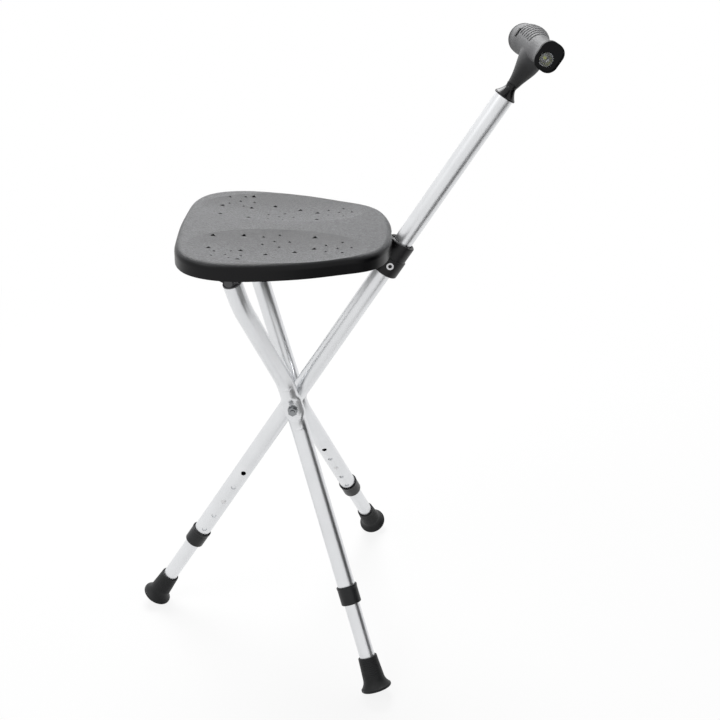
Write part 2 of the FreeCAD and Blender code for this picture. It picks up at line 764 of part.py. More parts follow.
def leg_bar(radius, half_thick, extra):
    """Whole leg as a solid bar, its ends longer by extra."""
    low, _, _, elbow, top = leg_points()
    knee_bend, shoulder_bend, elbow_bend = leg_bends()
    low = low + leg_direction() * extra
    top = top + (top - elbow).normalize() * extra
    lower = swept([line_edge(low, knee_bend[0]), arc_edge(knee_bend)], radius)
    upper = swept([arc_edge(shoulder_bend), line_edge(shoulder_bend[2], elbow_bend[0]), arc_edge(elbow_bend),
                   line_edge(elbow_bend[2], top)], radius)
    return lower.fuse([pressed_bar(radius, half_thick), upper])


def leg_lip_place():
    """Axes of the leg's clip: Z up the leg, -Y toward the stick."""
    up = leg_direction() * -1
    outward = (Y_AXIS - up * Y_AXIS.dot(up)).normalize()
    knee = leg_points()[1]
    return Placement(knee - up * LEG_LIP, Rotation(outward.cross(up), outward, up, "ZYX"))


def leg_sole():
    """Sole of the leg's foot below its lip, so that the sole's lowest edge is on the floor."""
    up = leg_direction() * -1
    lip = leg_lip_place().Base
    drop = lip.z - SOLE_R * math.sqrt(1 - up.z ** 2)
    return -drop / up.z


def make_leg_tube():
    """Bent outer tube of a side leg, pressed flat round the bolt."""
    wall = TUBE_R - BORE_R
    tube = leg_bar(TUBE_R, FLAT_HALF, 0).cut(leg_bar(BORE_R, FLAT_HALF - wall, 1))
    tube = tube.cut(on_y(BOLT_R + BOLT_GAP, PIVOT.x, PIVOT.z, 0, LEG_OFFSET + TUBE_R))
    place = leg_lip_place()
    for hole in button_hole_cutters(HOLE_R, TUBE_R):
        hole.Placement = place.multiply(hole.Placement)
        tube = tube.cut(hole)
    return tube


def make_leg_plug():
    """Plug in the top of the leg, with a round-nosed tongue for the pin."""
    hip = from_pivot(*HIP)
    top = leg_points()[4]
    up = (hip - top).normalize()
    plug = cylinder(BORE_R, top - up * PLUG_DEPTH, top)
    flange = cylinder(TUBE_R, top, top + up * PLUG_FLANGE)
    nose = on_y(TONGUE_R, hip.x, hip.z, hip.y - TONGUE_HALF, hip.y + TONGUE_HALF)
    side = Vector(up.z, 0, -up.x).normalize() * TONGUE_R
    corners = [hip + side, hip - side, top - side, top + side]
    blade = plate_xz([(corner.x, corner.z) for corner in corners], hip.y - TONGUE_HALF, hip.y + TONGUE_HALF)
    tongue = nose.fuse(blade).cut(cylinder(TUBE_R * 3, top - up * PLUG_DEPTH, top))
    body = plug.fuse([flange, tongue]).removeSplitter()
    return body.cut(on_y(PIN_R, hip.x, hip.z, hip.y - TUBE_R, hip.y + TUBE_R))


def make_leg_pin():
    """Pin across the leg's top, ending just short of the bracket's cheeks."""
    hip = from_pivot(*HIP)
    reach = CHEEK_GAP - PIN_END_GAP
    return on_y(PIN_R, hip.x, hip.z, hip.y - reach, hip.y + reach)


# Seat


def plate_under():
    """Height of the seat plate's underside."""
    return SEAT_Z - SEAT_PLATE


def on_seat(shape):
    """Turns a shape made level into the seat's slight tilt."""
    shape.Placement = SEAT.multiply(shape.Placement)
    return shape


def seat_hip():
    """Rear leg's top pin in the level seat."""
    return SEAT.inverse().multVec(from_pivot(*HIP))


def outline_wire(inset, z):
    """Smooth closed outline of the seat, moved inward by inset."""
    half = [Vector(x, y, 0) for x, y in SEAT_HALF]
    tail, nose = half[1] - Vector(0, 2 * half[1].y, 0), half[-2] - Vector(0, 2 * half[-2].y, 0)
    points = []
    for before, spot, after in zip([tail] + half, half, half[1:] + [nose]):
        ahead = after - before
        inward = Vector(ahead.y, -ahead.x, 0).normalize()
        points.append(spot + inward * inset + Vector(PIVOT.x, 0, z))
    curve = Part.BSplineCurve()
    curve.interpolate(Points=points, InitialTangent=Y_AXIS, FinalTangent=Y_AXIS * -1)
    side = curve.toShape()
    return Part.Wire(Part.__sortEdges__([side, mirrored(side)]))


def seat_blank():
    """Solid of the seat's outside, with its upper edge rounded."""
    base = SEAT_Z - SEAT_RIM
    solid = Part.Face(outline_wire(0, base)).extrude(Vector(0, 0, SEAT_RIM))
    top_edges = [edge for edge in solid.Edges if edge.BoundBox.ZMin > SEAT_Z - 0.01]
    return solid.makeFillet(SEAT_ROUND, top_edges)


def scoop(side):
    """Shallow bowl cut into one half of the seat's top."""
    share = math.sqrt(1 - ((DISH_BALL - DISH_DEPTH) / DISH_BALL) ** 2)
    ball = Part.makeSphere(1.0)
    matrix = FreeCAD.Matrix()
    matrix.scale(Vector(DISH_LENGTH / share, DISH_WIDTH / share, DISH_BALL))
    bowl = ball.transformGeometry(matrix)
    bowl.translate(Vector(PIVOT.x + DISH_X, side * DISH_Y, SEAT_Z + DISH_BALL - DISH_DEPTH))
    return bowl


def vent_hole(x, y, radius):
    """Three-sided hole through the seat, pointing to +Y."""
    angles = [math.radians(90 + 120 * i) for i in range(3)]
    corners = [Vector(PIVOT.x + x + radius * math.cos(a), y + radius * math.sin(a), plate_under() - 1)
               for a in angles]
    return Part.Face(Part.makePolygon(corners + corners[:1])).extrude(Vector(0, 0, SEAT_PLATE + 2))


def vent_holes():
    """All vent holes, the same on both halves."""
    places = [(x, y, BIG_HOLE) for x, y in BIG_HOLES] + [(x, y, SMALL_HOLE) for x, y in SMALL_HOLES]
    return [vent_hole(x, side * y, radius) for x, y, radius in places for side in (-1, 1)]


def seat_screw_places():
    """Screws that hold the brackets under the seat, as (x, y)."""
    nose_x = (PLATE_FROM + 8.0, NOSE_PLATE_END - 20.0)
    nose = [(PIVOT.x + x, 0.0) for x in nose_x]
    hip = seat_hip()
    web_x = hip.x - WEB_START - WEB_LENGTH / 2
    webs = [(web_x, side * hip.y + shift) for side in (-1, 1) for shift in (-8.0, 8.0)]
    return nose + webs


def make_seat_shell():
    """Moulded seat: dished top, deep rim, vent holes, ribs and a notch for the collar."""
    base = SEAT_Z - SEAT_RIM
    inner = Part.Face(outline_wire(SEAT_WALL, base - 1)).extrude(Vector(0, 0, SEAT_RIM - SEAT_PLATE + 1))
    shell = seat_blank().cut(inner)
    shell = shell.cut([scoop(-1), scoop(1)])
    for side in (-1, 1):
        y = side * RIB_Y
        rib = box(PIVOT.x + RIB_FROM, PIVOT.x + RIB_TO, y - RIB_T / 2, y + RIB_T / 2,
                  plate_under() - RIB_H, plate_under())
        shell = shell.fuse(rib)
    shell = shell.cut(vent_holes())
    bites = [cylinder(SCREW_SHANK_R, Vector(x, y, plate_under() - 1), Vector(x, y, plate_under() + SCREW_BITE))
             for x, y in seat_screw_places()]
    shell = on_seat(shell.cut(bites))
    return shell.cut(on_stick(on_z(COLLAR_ROOM, COLLAR_BOTTOM - 40, COLLAR_TOP + 60)))


def hinge_screw():
    """Hinge screws' axis in the level seat."""
    return SEAT.inverse().multVec(STICK.multVec(Vector(0, 0, COLLAR_SCREW)))


def ear_outline():
    """Side view of a seat ear, from the plate under the seat to the hinge screw."""
    turn = SEAT.inverse().Rotation.multiply(STICK.Rotation)
    along = turn.multVec(Z_AXIS)
    away = turn.multVec(X_AXIS) * -1
    screw = hinge_screw()
    ceiling = plate_under()
    inner_top = screw + along * EAR_R + away * EAR_REACH
    lower = screw - along * EAR_R + away * (EAR_REACH + EAR_R)
    back_x = PIVOT.x + PLATE_FROM + 24.0
    corners = [screw + along * EAR_R, inner_top, Vector(inner_top.x, 0, ceiling), Vector(back_x, 0, ceiling),
               Vector(back_x + 6.0, 0, ceiling - 12.0), lower, screw - along * EAR_R]
    return [(corner.x, corner.z) for corner in corners]


def make_seat_hinge_bracket():
    """Steel plate under the seat's nose with two ears that reach the hinge screws."""
    outer = EAR_INNER + EAR_T
    ceiling = plate_under()
    plate = box(PIVOT.x + PLATE_FROM, PIVOT.x + NOSE_PLATE_END, -outer, outer, ceiling - PLATE_T, ceiling)
    screw = hinge_screw()
    for y_from, y_to in ((EAR_INNER, outer), (-outer, -EAR_INNER)):
        ear = plate_xz(ear_outline(), y_from, y_to).fuse(on_y(EAR_R, screw.x, screw.z, y_from, y_to))
        plate = plate.fuse(ear)
    plate = plate.cut(on_y(SCREW_R + SCREW_GAP, screw.x, screw.z, -outer - 1, outer + 1))
    for x, y in seat_screw_places()[:2]:
        plate = plate.cut(cylinder(SCREW_SHANK_R, Vector(x, y, ceiling - PLATE_T - 1), Vector(x, y, ceiling + 1)))
    return on_seat(plate.removeSplitter())


def cheek_outline():
    """Side view of a bracket cheek, from its round eye up to the seat plate."""
    hip = seat_hip()
    ceiling = plate_under()
    return [(hip.x - CHEEK_R, hip.z), (hip.x + CHEEK_R, hip.z), (hip.x + BRACKET_FLARE, ceiling),
            (hip.x - WEB_START - WEB_LENGTH, ceiling), (hip.x - WEB_START - WEB_LENGTH, ceiling - 5.0)]


def make_leg_bracket():
    """Channel bracket for the rear leg's top: two cheeks joined by a web under the seat plate."""
    hip = seat_hip()
    ceiling = plate_under()
    outer = CHEEK_GAP + CHEEK_T
    bracket = box(hip.x - WEB_START - WEB_LENGTH, hip.x - WEB_START, hip.y - outer, hip.y + outer,
                  ceiling - PLATE_T, ceiling)
    for y_from in (hip.y - outer, hip.y + CHEEK_GAP):
        cheek = plate_xz(cheek_outline(), y_from, y_from + CHEEK_T)
        eye = on_y(CHEEK_R, hip.x, hip.z, y_from, y_from + CHEEK_T)
        bracket = bracket.fuse([cheek, eye])
    bracket = bracket.cut(on_y(PIN_R, hip.x, hip.z, hip.y - outer - 1, hip.y + outer + 1))
    for x, y in seat_screw_places()[-2:]:
        hole = cylinder(SCREW_SHANK_R, Vector(x, y, ceiling - PLATE_T - 1), Vector(x, y, ceiling + 1))
        bracket = bracket.cut(hole)
    return on_seat(bracket.removeSplitter())


def make_bracket_rivets():
    """Rivet heads in the eyes of the bracket cheeks."""
    hip = seat_hip()
    outer = CHEEK_GAP + CHEEK_T
    rivets = []
    for side in (-1, 1):
        inner_y = hip.y + side * CHEEK_GAP
        face_y = hip.y + side * outer
        shank = on_y(PIN_R, hip.x, hip.z, min(inner_y, face_y), max(inner_y, face_y))
        head_y = face_y + side * RIVET_HEAD_H
        head = on_y(RIVET_HEAD_R, hip.x, hip.z, min(face_y, head_y), max(face_y, head_y))
        rivets.append(shank.fuse(head).removeSplitter())
    return on_seat(Part.makeCompound(rivets + [mirrored(rivet) for rivet in rivets]))


def make_seat_screws():
    """Pan-head screws from below into the seat plate."""
    screws = []
    face = plate_under() - PLATE_T
    for x, y in seat_screw_places():
        shank = cylinder(SCREW_SHANK_R, Vector(x, y, face), Vector(x, y, plate_under() + SCREW_BITE))
        head = cylinder(PAN_R, Vector(x, y, face - PAN_H), Vector(x, y, face))
        screws.append(shank.fuse(head).removeSplitter())
    return on_seat(Part.makeCompound(screws))


# Collar, in the stick's own axes


def pocket(side):
    """Slot for one seat ear, open below and toward the seat."""
    near = EAR_INNER - POCKET_GAP
    far = EAR_INNER + EAR_T + POCKET_GAP
    y_from, y_to = sorted((side * near, side * far))
    roof = COLLAR_SCREW + EAR_R + 1.0
    return box(-COLLAR_R - 1, EAR_R + 1.0, y_from, y_to, COLLAR_BOTTOM - 1, roof)


def make_collar():
    """Sliding collar: sleeve above, wider clevis with two ear slots below."""
    profile = [
        (TUBE_R + COLLAR_GAP, COLLAR_BOTTOM), (COLLAR_R - 1, COLLAR_BOTTOM), (COLLAR_R, COLLAR_BOTTOM + 1),
        (COLLAR_R, COLLAR_STEP - 1), (SLEEVE_R, COLLAR_STEP), (SLEEVE_R, COLLAR_TOP - 1),
        (SLEEVE_R - 1, COLLAR_TOP), (TUBE_R + MOUTH_GAP, COLLAR_TOP), (TUBE_R + MOUTH_GAP, COLLAR_TOP - MOUTH_DEPTH),
        (TUBE_R + COLLAR_GAP, COLLAR_TOP - MOUTH_DEPTH - 1),
    ]
    collar = turned(profile)
    collar = collar.cut([pocket(-1), pocket(1)])
    collar = collar.cut(box(-TUBE_R - NOTCH_L, 0, -NOTCH_W / 2, NOTCH_W / 2, COLLAR_TOP - MOUTH_DEPTH, COLLAR_TOP + 1))
    collar = collar.cut(on_y(SCREW_R, 0, COLLAR_SCREW, TUBE_R + 0.3, COLLAR_R + 2))
    collar = collar.cut(on_y(SCREW_R, 0, COLLAR_SCREW, -COLLAR_R - 2, -TUBE_R - 0.3))
    for side in (-1, 1):
        y_from, y_to = sorted((side * (COLLAR_R - 0.8), side * (COLLAR_R + 4)))
        collar = collar.cut(on_y(SCREW_HEAD_R + 0.2, 0, COLLAR_SCREW, y_from, y_to))
    return on_stick(collar)


def make_collar_screws():
    """Socket-head hinge screws, one in each cheek of the collar."""
    head_from = COLLAR_R - 0.8
    head_to = head_from + SCREW_HEAD_H
    shank = on_y(SCREW_R, 0, COLLAR_SCREW, TUBE_R + 0.3, head_from)
    head = on_y(SCREW_HEAD_R, 0, COLLAR_SCREW, head_from, head_to)
    socket = hexagon(SOCKET_R, 0, COLLAR_SCREW, head_to - 0.9, head_to + 1)
    rear = shank.fuse(head).removeSplitter().cut(socket)
    return Part.makeCompound([on_stick(rear), on_stick(mirrored(rear))])


def save(name, shape):
    """Writes one node."""
    shape.exportStep("parts/" + name + ".step")


def side_leg_pieces():
    """Rear leg's pieces by name."""
    pieces = telescope(leg_sole(), leg_lip_place())
    pieces["leg_tube"] = make_leg_tube()
    pieces["leg_plug"] = make_leg_plug()
    pieces["leg_pin"] = make_leg_pin()
    pieces["leg_bracket"] = make_leg_bracket()
    return pieces


def main():
    """Builds every piece and writes one file for each."""
    os.makedirs("parts", exist_ok=True)
    save("main_tube", make_main_tube())
    for name, shape in telescope(stick_sole(), stick_lip_place()).items():
        save("main_" + name, shape)
    for name, shape in side_leg_pieces().items():
        save("rear_" + name, shape)
        save("front_" + name, mirrored(shape))
    save("bell_ferrule", make_bell())
    save("grip_stem", make_grip_stem())
    save("grip_stem_nut", make_grip_stem_nut())
    save("grip_body", make_grip_body())
    save("rear_cap", make_rear_cap())
    save("lamp_bezel", make_lamp_bezel())
    save("lamp_lens", make_lamp_lens())
    save("torch_housing", make_torch_housing())
    save("reflector", make_reflector())
    save("led_module", make_led_module())
    save("battery_cells", make_battery_cells())
    save("battery_spring", make_battery_spring())
    save("lamp_switch", make_lamp_switch())
    save("pivot_bolt", make_pivot_bolt())
    save("pivot_nut", make_pivot_nut())
    save("pivot_washers", make_pivot_washers())
    save("pivot_spacers", make_pivot_spacers())
    save("collar", make_collar())
    save("collar_screws", make_collar_screws())
    save("seat_shell", make_seat_shell())
    save("seat_hinge_bracket", make_seat_hinge_bracket())
    save("bracket_rivets", make_bracket_rivets())
    save("seat_screws", make_seat_screws())


main()
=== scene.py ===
import logging
import math
from dataclasses import dataclass
from enum import Enum
from typing import Iterable, Optional, Sequence, Union

import bmesh
import bpy
from mathutils import Matrix, Vector


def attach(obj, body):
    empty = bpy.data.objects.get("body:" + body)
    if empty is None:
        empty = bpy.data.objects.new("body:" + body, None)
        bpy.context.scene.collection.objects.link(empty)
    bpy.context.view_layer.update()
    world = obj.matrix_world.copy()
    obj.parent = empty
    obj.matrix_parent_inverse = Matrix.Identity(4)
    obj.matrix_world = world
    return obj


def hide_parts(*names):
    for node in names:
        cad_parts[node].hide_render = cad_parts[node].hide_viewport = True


log = logging.getLogger("stick_seat")

MM = 0.001
Colour = tuple[float, float, float]
Point = tuple[float, float, float]


class Body(Enum):
    """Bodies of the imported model."""

    STICK = "stick"
    FRONT_LEG = "front_leg"
    REAR_LEG = "rear_leg"
    MAIN_EXTENSION = "main_extension"
    FRONT_EXTENSION = "front_extension"
    REAR_EXTENSION = "rear_extension"


class Side(Enum):
    """The two side legs, by the sign of Y on which each stands."""

    FRONT = -1
    REAR = 1


# Shader maths


class Value:
    """A shader socket that can stand in a Python expression."""

    def __init__(self, graph: "Graph", socket: bpy.types.NodeSocket) -> None:
        """Keeps the socket and the graph that it belongs to.

        Args:
            graph: Graph that new nodes go into.
            socket: Output socket to work on.
        """
        self.graph = graph
        self.socket = socket

    def maths(self, operation: str, *others: Union["Value", float]) -> "Value":
        """Adds one Math node.

        Args:
            operation: Name of the Math node's operation.
            others: Further inputs.

        Returns:
            The node's result.
        """
        inputs = dict(enumerate((self, *others)))
        return self.graph.node("ShaderNodeMath", {"operation": operation}, inputs)

    def __add__(self, other: Union["Value", float]) -> "Value":
        """Sum."""
        return self.maths("ADD", other)

    __radd__ = __add__

    def __mul__(self, other: Union["Value", float]) -> "Value":
        """Product."""
        return self.maths("MULTIPLY", other)

    __rmul__ = __mul__

    def __sub__(self, other: Union["Value", float]) -> "Value":
        """Difference."""
        return self.maths("SUBTRACT", other)

    def __rsub__(self, other: float) -> "Value":
        """Difference from a number."""
        return self * -1.0 + other

    def __pow__(self, other: float) -> "Value":
        """Power."""
        return self.maths("POWER", other)

    def __abs__(self) -> "Value":
        """Size without its sign."""
        return self.maths("ABSOLUTE")

    def step(self, low: float, high: float) -> "Value":
        """Rises smoothly from 0 at low to 1 at high.

        Args:
            low: Value at which the result is 0.
            high: Value at which the result is 1, below low for a fall.

        Returns:
            The smooth step.
        """
        settings = {"interpolation_type": "SMOOTHSTEP"}
        flip = high < low
        inputs = {"Value": self, "From Min": min(low, high), "From Max": max(low, high)}
        rise = self.graph.node("ShaderNodeMapRange", settings, inputs)
        return 1.0 - rise if flip else rise

    def near(self, middle: float, reach: float) -> "Value":
        """1 at the middle, falling smoothly to 0 at reach on both sides."""
        return abs(self - middle).step(reach, 0.0)


Feed = Union[Value, float, Sequence[float]]


class Graph:
    """Node tree of one material."""

    def __init__(self, name: str) -> None:
        """Starts an empty material.

        Args:
            name: Name of the material.
        """
        self.material = bpy.data.materials.new(name)
        self.material.use_nodes = True
        self.tree = self.material.node_tree
        self.tree.nodes.clear()

    def node(self, kind: str, settings: Optional[dict] = None, inputs: Optional[dict] = None,
             output: Union[int, str] = 0) -> Value:
        """Adds a node, sets it up and feeds it.

        Args:
            kind: Blender's name of the node type.
            settings: Properties of the node, set first.
            inputs: Numbers, colours or values by the input's name or place.
            output: Name or place of the output wanted.

        Returns:
            The wanted output.
        """
        made = self.tree.nodes.new(kind)
        for key, value in (settings or {}).items():
            setattr(made, key, value)
        for key, value in (inputs or {}).items():
            self.feed(made.inputs[key], value)
        return Value(self, made.outputs[output])

    def feed(self, socket: bpy.types.NodeSocket, value: Feed) -> None:
        """Links a value to an input, or sets a number or colour on it.

        Args:
            socket: The input.
            value: What it gets.
        """
        if isinstance(value, Value):
            self.tree.links.new(value.socket, socket)
        elif socket.type == "RGBA" and len(value) == 3:
            socket.default_value = (*value, 1.0)
        else:
            socket.default_value = value

    def place(self, turn: Point = (0, 0, 0), centre: Point = (0, 0, 0), scale: Point = (1, 1, 1)) -> Value:
        """Object coordinates seen from axes of their own.

        Args:
            turn: Turn of those axes as Euler angles.
            centre: Their origin.
            scale: Length of one unit along each of them.

        Returns:
            The coordinates.
        """
        raw = self.node("ShaderNodeTexCoord", output="Object")
        inputs = {"Vector": raw, "Location": centre, "Rotation": turn, "Scale": scale}
        return self.node("ShaderNodeMapping", {"vector_type": "TEXTURE"}, inputs)

    def axes(self, place: Value) -> list[Value]:
        """The three coordinates of a place."""
        split = self.node("ShaderNodeSeparateXYZ", inputs={0: place})
        return [Value(self, output) for output in split.socket.node.outputs]

    def noise(self, place: Value, scale: float, detail: float = 2.0, distortion: float = 0.0) -> Value:
        """Cloudy noise from 0 to 1."""
        inputs = {"Vector": place, "Scale": scale, "Detail": detail, "Distortion": distortion}
        return self.node("ShaderNodeTexNoise", inputs=inputs)

    def cells(self, place: Value, scale: float, feature: str = "F1") -> Value:
        """Distance pattern of scattered cells."""
        inputs = {"Vector": place, "Scale": scale}
        return self.node("ShaderNodeTexVoronoi", {"feature": feature}, inputs, "Distance")

    def mix(self, share: Value, low: Union[Value, Colour], high: Union[Value, Colour]) -> Value:
        """Colour between low and high."""
        return self.node("ShaderNodeMix", {"data_type": "RGBA"}, {0: share, 6: low, 7: high}, 2)

    def bump(self, height: Value, depth: float, strength: float = 1.0, base: Optional[Value] = None) -> Value:
        """Bumped normal.

        Args:
            height: Height from 0 to 1.
            depth: Metres between heights 0 and 1.
            strength: Share of the effect.
            base: Normal to start from.

        Returns:
            The normal.
        """
        inputs = {"Strength": strength, "Distance": depth, "Height": height}
        if base is not None:
            inputs["Normal"] = base
        return self.node("ShaderNodeBump", inputs=inputs)

    def soft_edge(self, radius: float) -> Value:
        """Normal that rounds hard edges by a radius in metres."""
        return self.node("ShaderNodeBevel", {"samples": 4}, {"Radius": radius})

    def finish(self, **sockets: Feed) -> bpy.types.Material:
        """Ends the tree with one Principled shader.

        Args:
            sockets: Inputs by their name with underscores for spaces.

        Returns:
            The material.
        """
        inputs = {key.replace("_", " "): value for key, value in sockets.items()}
        shader = self.node("ShaderNodeBsdfPrincipled", inputs=inputs)
        return self.close(shader)

    def close(self, shader: Value) -> bpy.types.Material:
        """Links a shader to the surface.

        Args:
            shader: Output of the shader.

        Returns:
            The material.
        """
        end = self.tree.nodes.new("ShaderNodeOutputMaterial")
        self.tree.links.new(shader.socket, end.inputs["Surface"])
        return self.material


# Finishes


@dataclass(frozen=True)
class Finish:
    """A finish that any piece can take."""

    name: str

    def material(self) -> bpy.types.Material:
        """The finish's material, made on first use.

        Returns:
            The material, the same one at each call.
        """
        name = f"{self.name}_finish"
        known = bpy.data.materials.get(name)
        return known if known is not None else self.shade(Graph(name))

    def shade(self, graph: Graph) -> bpy.types.Material:
        """Builds the material in an empty graph.

        Args:
            graph: Graph to build it in.

        Returns:
            The finished material.
        """
        raise NotImplementedError

    def dress(self, *pieces: bpy.types.Object) -> None:
        """Gives the finish to pieces, in place of what they had.

        Args:
            pieces: Objects that take it.
        """
        for piece in pieces:
            piece.data.materials.clear()
            piece.data.materials.append(self.material())


@dataclass(frozen=True)
class DrawnAluminium(Finish):
    """Satin silver tube with faint draw lines along its run and optional crush marks."""

    colour: Colour = (0.79, 0.8, 0.815)
    turn: Point = (0, 0, 0)
    centre: Point = (0, 0, 0)
    crush_marks: tuple[float, ...] = ()
    crush_side: float = 0.0
    crush_bow: float = 28.0
    crush_reach: float = 0.0022
    crush_height: float = 9.0
    line_run: Point = (0.0006, 0.0006, 0.25)
    line_height: float = 0.1
    metal: float = 0.95
    bump_depth: float = 0.00008

    def shade(self, graph: Graph) -> bpy.types.Material:
        """Builds the material in an empty graph.

        Args:
            graph: Graph to build it in.

        Returns:
            The finished material.
        """
        lines = graph.noise(graph.place(self.turn, scale=self.line_run), 1.0, 2.0)
        cloud = graph.noise(graph.place(), 28.0, 3.0)
        tint = graph.mix(cloud.step(0.3, 0.75), tuple(c * 0.95 for c in self.colour), self.colour)
        height = lines * self.line_height
        if self.crush_marks:
            across, out, along = graph.axes(graph.place(self.turn, self.centre))
            face = (out * self.crush_side).step(0.001, 0.006)
            for mark in self.crush_marks:
                bow = along - across * across * math.copysign(self.crush_bow, mark)
                line = bow.near(mark, self.crush_reach) * abs(across).step(0.0085, 0.002)
                height = height + line * face * self.crush_height
        roughness = 0.27 + lines * 0.05 + cloud * 0.06
        return graph.finish(Base_Color=tint, Metallic=self.metal, Roughness=roughness,
                            Normal=graph.bump(height, self.bump_depth, 0.7))


@dataclass(frozen=True)
class MouldedPlastic(Finish):
    """Dark moulded plastic with a fine spark texture and softened edges."""

    colour: Colour = (0.02, 0.02, 0.022)
    roughness: float = 0.42
    grain: float = 1900.0
    edge: float = 0.0004
    shine: float = 0.3

    def shade(self, graph: Graph) -> bpy.types.Material:
        """Builds the material in an empty graph.

        Args:
            graph: Graph to build it in.

        Returns:
            The finished material.
        """
        place = graph.place()
        fine = graph.noise(place, self.grain, 2.0)
        cloud = graph.noise(place, 60.0, 3.0)
        paler = tuple(c * 1.5 + 0.004 for c in self.colour)
        tint = graph.mix(cloud.step(0.35, 0.8), self.colour, paler)
        normal = graph.bump(fine, 0.00006, 0.5, graph.soft_edge(self.edge))
        return graph.finish(Base_Color=tint, Roughness=self.roughness + cloud * 0.1 - 0.05, Normal=normal,
                            Specular_IOR_Level=self.shine)


@dataclass(frozen=True)
class SoftRubber(Finish):
    """Matt rubber with a velvety surface, faint dust and optional painted shade that darkens its colour down
    the grip's neck.
    """

    colour: Colour = (0.03, 0.03, 0.032)
    dust: Colour = (0.07, 0.07, 0.07)
    roughness: float = 0.62
    grain: float = 1500.0
    sheen: float = 0.1
    shine: float = 0.3
    turn: Point = (0, 0, 0)
    neck_at: Optional[Point] = None
    # Painted shade down the grip's neck.
    neck_shade_fade: tuple[float, float] = (0.002, -0.026)
    neck_painted_shade: float = 0.3

    def shade(self, graph: Graph) -> bpy.types.Material:
        """Builds the material in an empty graph.

        Args:
            graph: Graph to build it in.

        Returns:
            The finished material.
        """
        place = graph.place()
        fine = graph.noise(place, self.grain, 3.0)
        cloud = graph.noise(place, 42.0, 4.0, 0.4)
        tint = graph.mix(cloud.step(0.4, 0.8) * 0.5 + fine * 0.1, self.colour, self.dust)
        # Painted shade: the colour darkens below a point, down the grip's neck.
        if self.neck_at is not None:
            down = graph.axes(graph.place(self.turn, self.neck_at))[2]
            darker = tuple(c * self.neck_painted_shade for c in self.colour)
            tint = graph.mix(down.step(*self.neck_shade_fade), tint, darker)
        return graph.finish(Base_Color=tint, Roughness=self.roughness + cloud * 0.12 - 0.05,
                            Sheen_Weight=self.sheen, Sheen_Roughness=0.4, Specular_IOR_Level=self.shine,
                            Normal=graph.bump(fine, 0.00008, 0.5))


@dataclass(frozen=True)
class SeatPlastic(Finish):
    """Black seat plastic: leather grain on the top, smooth satin on the rounded rim.

    The top's grey is partly its grain's own tone and partly painted sheen, with painted shade in the grain's
    grooves. Its tint also depends on which way a slope faces along Y: slopes that face -Y, towards the
    camera, get painted shade, to help the relief of the dishes to show, and that is no shape.
    """

    # Painted sheen in part: the top's grey is partly the grain's own tone and partly stands in for sheen.
    top: Colour = (0.155, 0.158, 0.165)
    rim: Colour = (0.003, 0.003, 0.004)
    tilt: float = math.radians(1.4)
    centre: Point = (-0.03725, 0.0, 0.5488)
    shine: float = 0.22
    top_facing: tuple[float, float] = (0.5, 0.96)
    top_depth: tuple[float, float] = (-0.0095, -0.0075)
    # Painted shade on the top's slopes that face -Y, towards the camera.
    painted_shade_facing: tuple[float, float] = (-0.2, 0.12)
    painted_shade_share: float = 0.9
    # Painted shade in the grain's grooves.
    groove_painted_shade: float = 0.3
    wrinkle_scale: float = 980.0
    fold_scale: float = 1100.0
    grain_depth: float = 0.0002
    edge: float = 0.0005

    def shade(self, graph: Graph) -> bpy.types.Material:
        """Builds the material in an empty graph.

        Args:
            graph: Graph to build it in.

        Returns:
            The finished material.
        """
        place = graph.place((0, self.tilt, 0), self.centre)
        depth = graph.axes(place)[2]
        _, slope, facing = graph.axes(graph.node("ShaderNodeTexCoord", output="Normal"))
        on_top = facing.step(*self.top_facing) * depth.step(*self.top_depth)
        wrinkles = graph.noise(graph.place(scale=(2.4, 1.0, 1.0)), self.wrinkle_scale, 2.0, 1.2)
        folds = graph.cells(graph.place(scale=(2.0, 1.0, 1.0)), self.fold_scale, "SMOOTH_F1")
        cloud = graph.noise(place, 36.0, 3.0)
        leather = wrinkles.step(0.34, 0.66) * 0.8 + folds * 0.35
        # Painted shade: slopes of the top that face -Y are darkened in colour.
        slope_painted_shade = slope.step(*self.painted_shade_facing) * self.painted_shade_share + 0.1
        share = leather.step(0.1, 0.95) * slope_painted_shade
        # Painted sheen and shade: the top's grey, darker in the grain's grooves.
        body = graph.mix(share, tuple(c * self.groove_painted_shade for c in self.top), self.top)
        tint = graph.mix(on_top, self.rim, body)
        height = leather * on_top + cloud * 0.02
        normal = graph.bump(height, self.grain_depth, 0.9, graph.soft_edge(self.edge))
        roughness = 0.32 + on_top * 0.12 - leather * on_top * 0.05
        return graph.finish(Base_Color=tint, Roughness=roughness, Normal=normal,
                            Specular_IOR_Level=self.shine)


@dataclass(frozen=True)
class GlossPlastic(Finish):
    """Glossy black plastic with the slightest orange peel."""

    colour: Colour = (0.006, 0.006, 0.007)
    roughness: float = 0.2
    shine: float = 0.3

    def shade(self, graph: Graph) -> bpy.types.Material:
        """Builds the material in an empty graph.

        Args:
            graph: Graph to build it in.

        Returns:
            The finished material.
        """
        place = graph.place()
        peel = graph.noise(place, 320.0, 2.0)
        smear = graph.noise(place, 90.0, 3.0)
        tint = graph.mix(smear, self.colour, tuple(c * 1.6 for c in self.colour))
        return graph.finish(Base_Color=tint, Roughness=self.roughness + smear * 0.08,
                            Specular_IOR_Level=self.shine, Normal=graph.bump(peel, 0.00001, 0.3))


